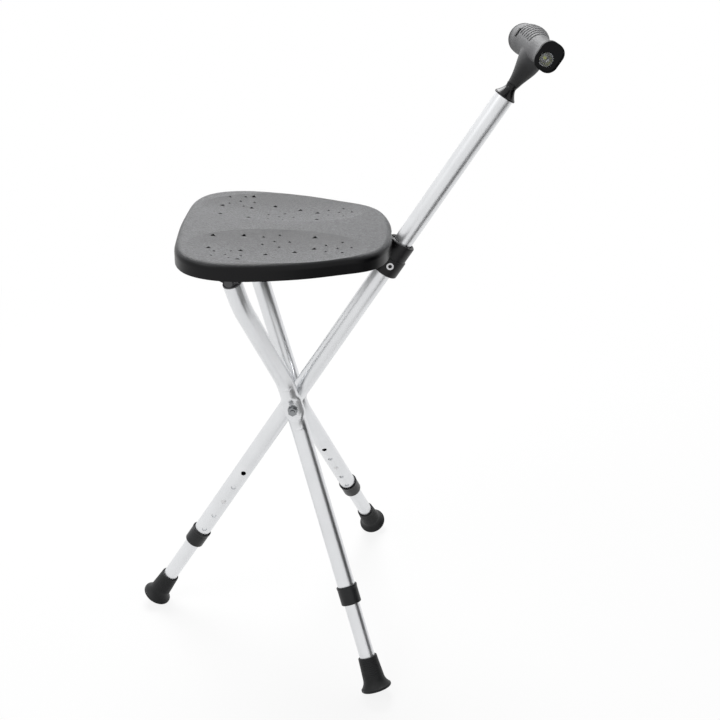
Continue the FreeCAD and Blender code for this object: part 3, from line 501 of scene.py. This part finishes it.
@dataclass(frozen=True)
class PlatedSteel(Finish):
    """Plated steel, from mirror bright to satin, with an optional dark disc of painted shade over a drive
    socket.
    """

    colour: Colour = (0.78, 0.78, 0.79)
    roughness: float = 0.14
    edge: float = 0.0003
    socket_at: Optional[Point] = None
    socket_r: float = 0.0021
    socket_fade: float = 0.0003
    # Colour of the painted shade over the socket.
    socket_painted_shade: Colour = (0.02, 0.02, 0.02)

    def shade(self, graph: Graph) -> bpy.types.Material:
        """Builds the material in an empty graph.

        Args:
            graph: Graph to build it in.

        Returns:
            The finished material.
        """
        place = graph.place()
        cloud = graph.noise(place, 240.0, 3.0)
        scratch = graph.noise(graph.place((0.4, 0.9, 0.3), scale=(0.0004, 0.02, 0.0004)), 1.0, 2.0)
        tint = graph.mix(cloud, tuple(c * 0.82 for c in self.colour), self.colour)
        # Painted shade: a dark disc over the drive socket, wider than the solid's own socket.
        if self.socket_at is not None:
            x, _, z = graph.axes(graph.place(centre=self.socket_at))
            away = (x * x + z * z) ** 0.5
            outside = away.step(self.socket_r, self.socket_r + self.socket_fade)
            tint = graph.mix(outside, self.socket_painted_shade, tint)
        normal = graph.bump(scratch, 0.00002, 0.4, graph.soft_edge(self.edge))
        return graph.finish(Base_Color=tint, Metallic=1.0, Roughness=self.roughness + cloud * 0.1,
                            Normal=normal)


@dataclass(frozen=True)
class ClearLens(Finish):
    """Clear moulded lens."""

    def shade(self, graph: Graph) -> bpy.types.Material:
        """Builds the material in an empty graph.

        Args:
            graph: Graph to build it in.

        Returns:
            The finished material.
        """
        smear = graph.noise(graph.place(), 300.0, 2.0)
        return graph.finish(Base_Color=(0.96, 0.97, 0.98), Roughness=smear * 0.04 + 0.02,
                            Transmission_Weight=1.0, IOR=1.46)


@dataclass(frozen=True)
class LampPlate(Finish):
    """White lamp plate with a yellow phosphor in its middle."""

    centre: Point = (0, 0, 0)
    plate: Colour = (0.42, 0.44, 0.4)
    phosphor: Colour = (0.62, 0.66, 0.08)
    phosphor_edge: tuple[float, float] = (0.0019, 0.0014)

    def shade(self, graph: Graph) -> bpy.types.Material:
        """Builds the material in an empty graph.

        Args:
            graph: Graph to build it in.

        Returns:
            The finished material.
        """
        place = graph.place(centre=self.centre)
        x, _, z = graph.axes(place)
        away = (x * x + z * z) ** 0.5
        speck = graph.noise(place, 2500.0, 2.0)
        tint = graph.mix(away.step(*self.phosphor_edge), self.plate, self.phosphor)
        return graph.finish(Base_Color=tint, Roughness=0.45 + speck * 0.1)


# Mesh helpers


def object_from(name: str, mesh: bmesh.types.BMesh, smooth: bool = True) -> bpy.types.Object:
    """Turns a bmesh into a linked object.

    Args:
        name: Name of the piece.
        mesh: The bmesh, freed here.
        smooth: Whether its faces are shaded smooth.

    Returns:
        The object.
    """
    bmesh.ops.recalc_face_normals(mesh, faces=mesh.faces)
    data = bpy.data.meshes.new(name)
    mesh.to_mesh(data)
    mesh.free()
    piece = bpy.data.objects.new(name, data)
    bpy.context.scene.collection.objects.link(piece)
    for face in data.polygons:
        face.use_smooth = smooth
    return piece


def rounded(corners: Iterable[Sequence[float]], steps: int = 5) -> list[tuple[float, float]]:
    """Rounds the corners of a profile.

    Args:
        corners: (radius, height, rounding) of each corner in millimetres.
        steps: Segments in each rounding.

    Returns:
        Points of the rounded profile in metres.
    """
    corners = [(Vector((r, z)), size) for r, z, size in corners]
    points: list[tuple[float, float]] = []
    for i, (corner, size) in enumerate(corners):
        if size == 0 or i in (0, len(corners) - 1):
            points.append((corner.x * MM, corner.y * MM))
            continue
        back = (corners[i - 1][0] - corner).normalized() * size
        ahead = (corners[i + 1][0] - corner).normalized() * size
        for step in range(steps + 1):
            t = step / steps
            spot = corner + back * (1 - t) ** 2 + ahead * t ** 2
            points.append((spot.x * MM, spot.y * MM))
    return points


def lathe(profile: Sequence[tuple[float, float]], place: Matrix, steps: int = 96) -> bmesh.types.BMesh:
    """Spins a profile about Z and puts it in place.

    Args:
        profile: (radius, height) points in metres.
        place: Where the Z axis goes.
        steps: Segments round the axis.

    Returns:
        The turned shape.
    """
    mesh = bmesh.new()
    points = [mesh.verts.new((r, 0, z)) for r, z in profile]
    edges = [mesh.edges.new(pair) for pair in zip(points, points[1:])]
    bmesh.ops.spin(mesh, geom=points + edges, cent=(0, 0, 0), axis=(0, 0, 1), angle=math.tau,
                   steps=steps, use_merge=True, use_duplicate=False)
    bmesh.ops.remove_doubles(mesh, verts=mesh.verts, dist=1e-6)
    bmesh.ops.transform(mesh, matrix=place, verts=mesh.verts)
    return mesh


def along(start: Vector, up: Vector) -> Matrix:
    """Place whose Z axis starts at a point and runs along a direction."""
    return Matrix.Translation(start) @ up.to_track_quat("Z", "Y").to_matrix().to_4x4()


def merged_copy(node: bpy.types.Object, name: str, weld: float = 1e-5) -> bpy.types.Object:
    """Copy of a CAD node with its loose triangles joined.

    Args:
        node: The CAD node.
        name: Name of the copy.
        weld: Distance within which corners are joined, in metres.

    Returns:
        The copy.
    """
    mesh = bmesh.new()
    mesh.from_mesh(node.data)
    bmesh.ops.remove_doubles(mesh, verts=mesh.verts, dist=weld)
    return object_from(name, mesh)


def modified(piece: bpy.types.Object, kind: str, **settings: object) -> None:
    """Adds a modifier and applies it.

    Args:
        piece: The piece.
        kind: Type of the modifier.
        settings: Its properties.
    """
    modifier = piece.modifiers.new(kind.lower(), kind)
    for key, value in settings.items():
        setattr(modifier, key, value)
    graph = bpy.context.evaluated_depsgraph_get()
    shaped = bpy.data.meshes.new_from_object(piece.evaluated_get(graph))
    piece.modifiers.clear()
    old = piece.data
    piece.data = shaped
    bpy.data.meshes.remove(old)


# Places shared by the sub-assemblies


@dataclass
class Geometry:
    """Places of the stick and the legs, in metres, the same as in the part's source."""

    pivot: Vector = Vector((-0.03725, 0.0, 0.3222))
    lean: float = math.radians(31.9)
    leg_offset: float = 0.0223
    knee: Vector = Vector((0.0072, 0.0, -0.0268))
    leg_floor: tuple[float, float] = (0.1093, 0.1785)
    leg_lip: float = 0.206
    stick_lip: float = -0.2374
    sole_radius: float = 0.0179

    @property
    def stick_up(self) -> Vector:
        """Direction up the stick."""
        return Vector((math.sin(self.lean), 0.0, math.cos(self.lean)))

    def on_stick(self, height: float, across: float = 0.0) -> Vector:
        """Point at a height along the stick, moved across it in its plane."""
        side = Vector((math.cos(self.lean), 0.0, -math.sin(self.lean)))
        return self.pivot + self.stick_up * height + side * across

    def knee_at(self, side: Side) -> Vector:
        """Knee of a side leg."""
        return self.pivot + self.knee + Vector((0, side.value * self.leg_offset, 0))

    def leg_up(self, side: Side) -> Vector:
        """Direction up the straight lower run of a side leg."""
        foot = Vector((self.pivot.x + self.leg_floor[0], side.value * self.leg_floor[1], 0))
        return (self.knee_at(side) - foot).normalized()

    def leg_lip_at(self, side: Side) -> Vector:
        """Lip of a side leg's clip."""
        return self.knee_at(side) - self.leg_up(side) * self.leg_lip

    def sole(self, lip: Vector, up: Vector) -> Vector:
        """Middle of a foot's sole, below its clip's lip."""
        drop = (lip.z - self.sole_radius * math.sqrt(1 - up.z ** 2)) / up.z
        return lip - up * drop


# Sub-assemblies


@dataclass
class Foot:
    """Flared rubber foot with fine rings round its neck and a ringed tread."""

    sole_r: float = 17.9
    rim_r: float = 18.9
    rim_h: float = 3.2
    waist_r: float = 13.4
    waist_z: float = 14.8
    neck_r: float = 11.8
    height: float = 41.0
    bore_r: float = 9.55
    floor: float = 6.0
    rings: int = 9
    ring_pitch: float = 2.5
    ring_depth: float = 0.42
    ring_half: float = 0.45
    ring_margin: float = 1.2
    treads: tuple[float, ...] = (6.0, 11.0, 15.5)
    tread_depth: float = 1.0
    tread_top: float = 0.7
    tread_base: float = 0.9
    rim_step: float = 0.7
    rim_rise: float = 0.3
    flare_steps: int = 12
    flare_power: float = 2.1
    finish: Finish = SoftRubber("foot_rubber", (0.016, 0.017, 0.018), (0.034, 0.034, 0.035), 0.5,
                                1400.0, 0.0, 0.25)

    def profile(self) -> list[tuple[float, float]]:
        """Outline from the sole's middle round to the floor of the bore, in metres.

        Returns:
            Corners of the outline as radius and height.
        """
        depth, top, base = self.tread_depth, self.tread_top, self.tread_base
        corners: list[tuple[float, float, float]] = [(0, depth, 0)]
        for radius in self.treads:
            corners += [(radius - base, depth, 0.1), (radius - top, 0.0, 0.1), (radius + top, 0.0, 0.1),
                        (radius + base, depth, 0.1)]
        corners += [(self.sole_r - 0.6, 0.9, 0.1), (self.sole_r - 0.4, 0.0, 0.2), (self.sole_r, 0.0, 0.3),
                    (self.rim_r, 1.0, 0.4), (self.rim_r, self.rim_h, 0.5),
                    (self.rim_r - self.rim_step, self.rim_h + self.rim_rise, 0.2)]
        span = self.waist_z - self.rim_h - self.rim_rise
        for i in range(1, self.flare_steps + 1):
            t = i / self.flare_steps
            radius = self.waist_r + (self.rim_r - self.rim_step - self.waist_r) * (1 - t) ** self.flare_power
            corners.append((radius, self.rim_h + self.rim_rise + span * t, 0))
        first = self.height - self.ring_margin - self.rings * self.ring_pitch
        slope = (self.waist_r - self.neck_r) / (self.height - self.waist_z)
        for i in range(self.rings):
            z = first + i * self.ring_pitch
            radius = self.waist_r - slope * (z - self.waist_z)
            corners += [(radius, z - self.ring_half, 0.15), (radius - self.ring_depth, z, 0.12),
                        (radius, z + self.ring_half, 0.15)]
        corners += [(self.neck_r, self.height, 0.6), (self.bore_r + 0.5, self.height, 0.3),
                    (self.bore_r, self.height - 1.0, 0.2), (self.bore_r, self.floor, 0), (0, self.floor, 0)]
        return rounded(corners, 3)

    def build(self, name: str, sole: Vector, up: Vector, body: Body) -> bpy.types.Object:
        """Makes the foot in place of the plain one.

        Args:
            name: Name of the leg.
            sole: Middle of its sole.
            up: Direction up its tube.
            body: Body that it rides on.

        Returns:
            The foot.
        """
        piece = object_from(f"{name}_foot_dressed", lathe(self.profile(), along(sole, up)))
        self.finish.dress(piece)
        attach(piece, body.value)
        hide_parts(f"{name}_foot")
        return piece


@dataclass
class Clip:
    """Dark clip at the mouth of an outer tube, with an open lip round the tube."""

    radius: float = 12.6
    flare: float = 0.4
    height: float = 22.9
    lip_gap: float = 0.9
    lip_depth: float = 4.0
    tube_r: float = 11.0
    bore_r: float = 9.56
    socket: float = 11.0
    flare_end: float = 2.2
    body_start: float = 3.6
    edge: float = 0.9
    finish: Finish = MouldedPlastic("clip_plastic", (0.02, 0.021, 0.023), 0.38, 1700.0, 0.0003)

    def profile(self) -> list[tuple[float, float]]:
        """Closed outline of the clip's wall, in metres.

        Returns:
            Corners of the outline as radius and height.
        """
        rim_r = self.radius + self.flare
        corners = [
            (self.tube_r + self.lip_gap, -self.lip_depth, 0.2), (self.tube_r + self.lip_gap, 0, 0.2),
            (rim_r, 0, 0.35), (rim_r, -self.flare_end, 0.5), (self.radius, -self.body_start, 0.5),
            (self.radius, -self.height + self.edge, 0.4), (self.radius - self.edge, -self.height, 0.4),
            (self.bore_r, -self.height, 0.15), (self.bore_r, -self.socket, 0), (self.tube_r, -self.socket, 0),
            (self.tube_r, -self.lip_depth, 0), (self.tube_r + self.lip_gap, -self.lip_depth, 0.2),
        ]
        return rounded(corners, 4)

    def build(self, name: str, lip: Vector, up: Vector, body: Body) -> bpy.types.Object:
        """Makes the clip in place of the plain one.

        Args:
            name: Name of the leg.
            lip: Middle of the clip's lip.
            up: Direction up its tube.
            body: Body that it rides on.

        Returns:
            The clip.
        """
        piece = object_from(f"{name}_clip_dressed", lathe(self.profile(), along(lip, up)))
        self.finish.dress(piece)
        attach(piece, body.value)
        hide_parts(f"{name}_clip")
        return piece


@dataclass
class Leg:
    """One height-adjustable leg: its tubes, lock, clip and foot."""

    name: str
    body: Body
    extension: Body
    lip: Vector
    up: Vector
    foot: Foot
    clip: Clip
    shape: Geometry

    def build(self) -> None:
        """Makes the new pieces and dresses the rest."""
        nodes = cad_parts
        turn = tuple(self.up.to_track_quat("Z", "Y").to_euler())
        tube = DrawnAluminium(f"{self.name}_lower_tube", turn=turn)
        tube.dress(nodes[f"{self.name}_inner_tube"])
        sole = self.shape.sole(self.lip, self.up)
        self.foot.build(self.name, sole, self.up, self.extension)
        self.clip.build(self.name, self.lip, self.up, self.body)
        PlatedSteel("lock_button_steel", (0.72, 0.72, 0.73), 0.2).dress(nodes[f"{self.name}_button"])
        PlatedSteel("spring_leaf_steel", (0.5, 0.5, 0.52), 0.3).dress(nodes[f"{self.name}_button_spring"])
        PlatedSteel("foot_disc_steel", (0.45, 0.45, 0.46), 0.4).dress(nodes[f"{self.name}_foot_disc"])
        log.info("%s leg: foot, clip, lower tube and lock", self.name)


@dataclass
class SideLeg(Leg):
    """Bent side leg, pressed flat round the pivot bolt, with its bracket under the seat."""

    side: Side = Side.FRONT
    crush: tuple[float, ...] = (0.029, -0.0265)

    def build(self) -> None:
        """Makes the new pieces and dresses the rest."""
        super().build()
        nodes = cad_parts
        centre = tuple(self.shape.pivot + Vector((0, self.side.value * self.shape.leg_offset, 0)))
        lean = math.atan2(-self.shape.knee.x, -self.shape.knee.z)
        tube = DrawnAluminium(f"{self.name}_leg_aluminium", turn=(0, lean, 0), centre=centre,
                              crush_marks=self.crush, crush_side=float(self.side.value))
        tube.dress(nodes[f"{self.name}_leg_tube"])
        MouldedPlastic("leg_plug_plastic", (0.3, 0.3, 0.31)).dress(nodes[f"{self.name}_leg_plug"])
        PlatedSteel("leg_pin_steel", (0.06, 0.06, 0.062), 0.35).dress(nodes[f"{self.name}_leg_pin"])
        PlatedSteel("bracket_steel", (0.05, 0.05, 0.052), 0.42).dress(nodes[f"{self.name}_leg_bracket"])
        log.info("%s side leg: bent tube, plug, pin and bracket", self.name)


@dataclass
class Bell:
    """Glossy trumpet-shaped ferrule on top of the stick."""

    shape: Geometry
    tube_r: float = 11.0
    bore_r: float = 9.56
    stem_r: float = 4.0
    rim_r: float = 12.6
    rim_z: float = 444.0
    tube_top: float = 446.0
    waist_z: float = 456.5
    waist_r: float = 6.0
    top_z: float = 459.5
    top_r: float = 6.8
    spigot: float = 30.0
    band_h: float = 1.6
    lip_h: float = 2.1
    lip_in: float = 0.8
    flare_steps: int = 18
    flare_power: float = 1.6
    finish: Finish = GlossPlastic("bell_gloss")

    def profile(self) -> list[tuple[float, float]]:
        """Closed outline of the ferrule, in metres.

        Returns:
            Corners of the outline as radius and height.
        """
        low = self.tube_top - self.spigot
        corners: list[tuple[float, float, float]] = [
            (self.stem_r, low, 0), (self.bore_r, low, 0), (self.bore_r, self.tube_top, 0),
            (self.tube_r, self.tube_top, 0), (self.tube_r, self.rim_z, 0), (self.rim_r, self.rim_z, 0.3),
            (self.rim_r, self.rim_z + self.band_h, 0.5),
            (self.rim_r - self.lip_in, self.rim_z + self.lip_h, 0.2),
        ]
        span = self.waist_z - self.rim_z - self.lip_h
        for i in range(1, self.flare_steps + 1):
            t = i / self.flare_steps
            radius = self.waist_r + (self.rim_r - self.lip_in - self.waist_r) * (1 - t) ** self.flare_power
            corners.append((radius, self.rim_z + self.lip_h + span * t, 0))
        corners += [(self.top_r, self.top_z, 0.2), (self.stem_r, self.top_z, 0), (self.stem_r, low, 0)]
        return rounded(corners, 4)

    def build(self) -> None:
        """Makes the ferrule in place of the plain one."""
        place = along(self.shape.pivot, self.shape.stick_up)
        piece = object_from("bell_ferrule_dressed", lathe(self.profile(), place))
        self.finish.dress(piece)
        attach(piece, Body.STICK.value)
        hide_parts("bell_ferrule")
        log.info("bell ferrule")


@dataclass
class Stick:
    """Long stick tube with its pivot hardware."""

    shape: Geometry

    def build(self) -> None:
        """Dresses the tube and the hardware at the pivot."""
        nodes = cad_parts
        turn = (0, self.shape.lean, 0)
        DrawnAluminium("stick_aluminium", turn=turn).dress(nodes["main_tube"])
        chrome = PlatedSteel("pivot_chrome", (0.3, 0.31, 0.32), 0.12, 0.0005)
        chrome.dress(nodes["pivot_bolt"], nodes["pivot_nut"], nodes["pivot_washers"])
        MouldedPlastic("pivot_spacer_plastic", (0.5, 0.5, 0.5), 0.35).dress(nodes["pivot_spacers"])
        log.info("stick tube and pivot hardware")


@dataclass
class Collar:
    """Sliding collar with the seat's hinge screws."""

    shape: Geometry
    screw_up: float = 0.217

    def build(self) -> None:
        """Dresses the collar and its screws."""
        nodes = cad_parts
        MouldedPlastic("collar_plastic", (0.009, 0.009, 0.01), 0.36, 1500.0, 0.0006).dress(nodes["collar"])
        screw = tuple(self.shape.on_stick(self.screw_up))
        # The screw heads take a dark disc of painted shade over their sockets.
        PlatedSteel("hinge_screw_chrome", (0.6, 0.6, 0.61), 0.16, 0.0004, screw).dress(nodes["collar_screws"])
        log.info("collar and hinge screws")


@dataclass
class Seat:
    """Moulded seat with its brackets and screws."""

    def build(self) -> None:
        """Dresses the shell and what is under it."""
        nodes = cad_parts
        SeatPlastic("seat_plastic").dress(nodes["seat_shell"])
        PlatedSteel("hinge_bracket_steel", (0.05, 0.05, 0.052), 0.42).dress(nodes["seat_hinge_bracket"])
        PlatedSteel("rivet_steel", (0.1, 0.1, 0.102), 0.35).dress(nodes["bracket_rivets"])
        PlatedSteel("seat_screw_steel", (0.55, 0.55, 0.56), 0.25).dress(nodes["seat_screws"])
        log.info("seat shell, brackets, rivets and screws")


@dataclass
class Grip:
    """Rubber grip with its cap, switch and lamp."""

    shape: Geometry
    voxel: float = 0.0007
    smooth_share: float = 0.5
    smooth_rounds: int = 4
    lamp_up: float = 0.5041
    lamp_across: float = 0.0006

    def build(self) -> None:
        """Makes the soft grip and dresses the rest."""
        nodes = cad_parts
        middle = tuple(self.shape.on_stick(self.lamp_up))
        # The grip rubber carries painted shade down its neck, below the lamp's middle; the rear cap takes the
        # same material.
        rubber = SoftRubber("grip_rubber", (0.15, 0.151, 0.156), (0.22, 0.222, 0.228), 0.55, 1300.0,
                            0.1, 0.25, (0, self.shape.lean, 0), middle)
        piece = merged_copy(nodes["grip_body"], "grip_body_dressed")
        modified(piece, "REMESH", mode="VOXEL", voxel_size=self.voxel, use_smooth_shade=True)
        modified(piece, "SMOOTH", factor=self.smooth_share, iterations=self.smooth_rounds)
        for face in piece.data.polygons:
            face.use_smooth = True
        rubber.dress(piece)
        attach(piece, Body.STICK.value)
        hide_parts("grip_body")
        rubber.dress(nodes["rear_cap"])
        SoftRubber("switch_rubber", (0.02, 0.02, 0.022), (0.05, 0.05, 0.05), 0.5).dress(nodes["lamp_switch"])
        GlossPlastic("bezel_gloss", (0.002, 0.002, 0.003), 0.22, 0.14).dress(nodes["lamp_bezel"])
        ClearLens("lens_clear").dress(nodes["lamp_lens"])
        GlossPlastic("housing_plastic", (0.01, 0.01, 0.01), 0.3).dress(nodes["torch_housing"])
        PlatedSteel("reflector_mirror", (0.3, 0.3, 0.31), 0.06, 0.0001).dress(nodes["reflector"])
        lamp = self.shape.on_stick(self.lamp_up, self.lamp_across)
        LampPlate("lamp_plate", centre=tuple(lamp)).dress(nodes["led_module"])
        cells = PlatedSteel("cell_steel", (0.7, 0.7, 0.71), 0.24)
        cells.dress(nodes["battery_cells"], nodes["battery_spring"])
        PlatedSteel("stem_steel", (0.5, 0.5, 0.51), 0.3).dress(nodes["grip_stem"], nodes["grip_stem_nut"])
        log.info("grip, cap, switch and lamp")


@dataclass
class Studio:
    """Pale floor, soft lamps and the camera."""

    shape: Geometry
    focal: float = 53.1
    shift: tuple[float, float] = (0.0118, -0.0087)
    eye: Point = (0.070, -1.155, 0.972)
    ahead: Point = (0.0009, 0.8912, -0.4535)
    above: Point = (-0.0089, 0.4535, 0.8912)
    floor_size: float = 9.0
    floor_colour: Colour = (0.5, 0.5, 0.5)
    floor_paler: Colour = (0.52, 0.52, 0.52)
    floor_seen: Colour = (0.97, 0.97, 0.97)
    shadow_share: float = 0.12
    shadow_reach: tuple[float, float] = (0.4, 1.3)
    world_light: float = 0.2

    def floor(self) -> None:
        """Wide pale floor that keeps the object's shadow."""
        mesh = bmesh.new()
        bmesh.ops.create_grid(mesh, x_segments=2, y_segments=2, size=self.floor_size)
        floor = object_from("floor", mesh, smooth=False)
        graph = Graph("studio_floor")
        speck = graph.noise(graph.place(), 3.0, 2.0)
        tint = graph.mix(speck, self.floor_colour, self.floor_paler)
        tint = graph.mix(self.seen(graph), tint, self.floor_seen)
        plain = graph.node("ShaderNodeBsdfDiffuse", inputs={"Color": tint})
        glow = graph.node("ShaderNodeEmission", inputs={"Color": (1.0, 1.0, 1.0), "Strength": 1.0})
        x, y, _ = graph.axes(graph.place())
        far = ((x * x + y * y) ** 0.5).step(*self.shadow_reach)
        share = self.seen(graph) * (far * self.shadow_share + (1 - self.shadow_share))
        mixed = graph.node("ShaderNodeMixShader", inputs={0: share, 1: plain, 2: glow})
        floor.data.materials.append(graph.close(mixed))

    def seen(self, graph: Graph) -> Value:
        """1 for rays that show the background, straight, in gloss or through glass.

        Args:
            graph: Graph to build it in.

        Returns:
            The share, 0 or 1.
        """
        rays = graph.node("ShaderNodeLightPath", output="Is Camera Ray")
        outputs = rays.socket.node.outputs
        gloss = Value(graph, outputs["Is Glossy Ray"])
        through = Value(graph, outputs["Is Transmission Ray"])
        return rays.maths("MAXIMUM", gloss).maths("MAXIMUM", through)

    def world(self) -> None:
        """Even white surroundings, dimmer for the light that they give."""
        world = bpy.data.worlds.new("studio")
        bpy.context.scene.world = world
        world.use_nodes = True
        tree = world.node_tree
        tree.nodes.clear()
        rays = tree.nodes.new("ShaderNodeLightPath")
        widest = tree.nodes.new("ShaderNodeMath")
        widest.operation = "MAXIMUM"
        widest_all = tree.nodes.new("ShaderNodeMath")
        widest_all.operation = "MAXIMUM"
        strength = tree.nodes.new("ShaderNodeMapRange")
        strength.inputs["To Min"].default_value = self.world_light
        strength.inputs["To Max"].default_value = 1.0
        glow = tree.nodes.new("ShaderNodeBackground")
        glow.inputs["Color"].default_value = (1, 1, 1, 1)
        end = tree.nodes.new("ShaderNodeOutputWorld")
        links = tree.links
        links.new(rays.outputs["Is Camera Ray"], widest.inputs[0])
        links.new(rays.outputs["Is Glossy Ray"], widest.inputs[1])
        links.new(widest.outputs[0], widest_all.inputs[0])
        links.new(rays.outputs["Is Transmission Ray"], widest_all.inputs[1])
        links.new(widest_all.outputs[0], strength.inputs["Value"])
        links.new(strength.outputs[0], glow.inputs["Strength"])
        links.new(glow.outputs[0], end.inputs["Surface"])

    def lamp(self, name: str, spot: Point, aim: Point, size: float, power: float) -> None:
        """Adds a soft square lamp.

        Args:
            name: Name of the lamp.
            spot: Where it hangs.
            aim: What it points at.
            size: Length of its side.
            power: Its power in watts.
        """
        data = bpy.data.lights.new(name, "AREA")
        data.size = size
        data.energy = power
        lamp = bpy.data.objects.new(name, data)
        bpy.context.scene.collection.objects.link(lamp)
        lamp.location = spot
        lamp.rotation_euler = (Vector(aim) - Vector(spot)).to_track_quat("-Z", "Y").to_euler()

    def dark_card(self, name: str, spot: Point, aim: Point, wide: float, high: float) -> None:
        """Adds a black card that only gloss sees, which draws dark bands on bright metal.

        Args:
            name: Name of the card.
            spot: Its middle.
            aim: Point that it faces.
            wide: Its width, in metres.
            high: Its height, in metres.
        """
        mesh = bmesh.new()
        bmesh.ops.create_grid(mesh, x_segments=1, y_segments=1, size=0.5)
        turn = (Vector(aim) - Vector(spot)).to_track_quat("Z", "Y").to_matrix().to_4x4()
        size = Matrix.Diagonal((wide, high, 1.0, 1.0))
        bmesh.ops.transform(mesh, matrix=Matrix.Translation(spot) @ turn @ size, verts=mesh.verts)
        card = object_from(name, mesh, smooth=False)
        graph = Graph(f"{name}_cloth")
        weave = graph.noise(graph.place(), 400.0, 1.0)
        tint = graph.mix(weave, (0.02, 0.02, 0.02), (0.03, 0.03, 0.03))
        card.data.materials.append(graph.finish(Base_Color=tint, Roughness=0.9, Specular_IOR_Level=0.0))
        card.visible_camera = False
        card.visible_shadow = False
        card.visible_diffuse = False
        card.visible_transmission = False

    def camera(self) -> None:
        """Camera at the photograph's place."""
        data = bpy.data.cameras.new("camera")
        data.lens = self.focal
        data.sensor_width = 36.0
        data.shift_x, data.shift_y = self.shift
        data.clip_start, data.clip_end = 0.01, 50.0
        camera = bpy.data.objects.new("camera", data)
        bpy.context.scene.collection.objects.link(camera)
        ahead, above = Vector(self.ahead).normalized(), Vector(self.above).normalized()
        right = ahead.cross(above).normalized()
        above = right.cross(ahead)
        turn = Matrix((right, above, -ahead)).transposed().to_4x4()
        spot = Vector(self.eye) + Vector((self.shape.pivot.x, 0, 0))
        camera.matrix_world = Matrix.Translation(spot) @ turn
        bpy.context.scene.camera = camera

    def build(self) -> None:
        """Sets the whole studio up."""
        self.floor()
        self.world()
        self.lamp("key", (-1.3, -0.9, 2.2), (0, 0, 0.45), 1.0, 9.0)
        self.lamp("top", (-0.3, 1.1, 2.2), (0, 0, 0.5), 1.2, 46.0)
        self.lamp("back", (-0.3, 1.5, 1.7), (0, 0, 0.5), 1.2, 7.0)
        self.dark_card("right_card", (1.0, -0.3, 0.5), (0.05, -0.05, 0.4), 1.0, 1.0)
        self.dark_card("low_card", (0.62, -0.82, 0.03), (0.62, -0.82, 1.0), 0.5, 1.0)
        self.camera()
        bpy.context.scene.view_settings.view_transform = "Standard"
        log.info("studio")


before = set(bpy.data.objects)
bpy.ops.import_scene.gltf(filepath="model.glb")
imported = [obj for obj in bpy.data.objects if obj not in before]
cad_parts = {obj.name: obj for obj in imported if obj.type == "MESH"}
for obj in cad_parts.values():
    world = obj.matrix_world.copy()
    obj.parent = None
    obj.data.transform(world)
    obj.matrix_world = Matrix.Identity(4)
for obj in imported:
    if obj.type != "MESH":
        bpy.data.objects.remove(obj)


def main() -> None:
    """Builds every sub-assembly in order."""
    logging.basicConfig(level=logging.INFO, format="%(message)s")
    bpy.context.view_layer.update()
    shape = Geometry()
    foot, clip = Foot(), Clip()
    Stick(shape).build()
    Leg("main", Body.STICK, Body.MAIN_EXTENSION, shape.on_stick(shape.stick_lip), shape.stick_up,
        foot, clip, shape).build()
    for side, name, body, extension in ((Side.FRONT, "front", Body.FRONT_LEG, Body.FRONT_EXTENSION),
                                        (Side.REAR, "rear", Body.REAR_LEG, Body.REAR_EXTENSION)):
        lip, up = shape.leg_lip_at(side), shape.leg_up(side)
        SideLeg(name, body, extension, lip, up, foot, clip, shape, side).build()
    Bell(shape).build()
    Collar(shape).build()
    Seat().build()
    Grip(shape).build()
    Studio(shape).build()


if __name__ == "__main__":
    main()
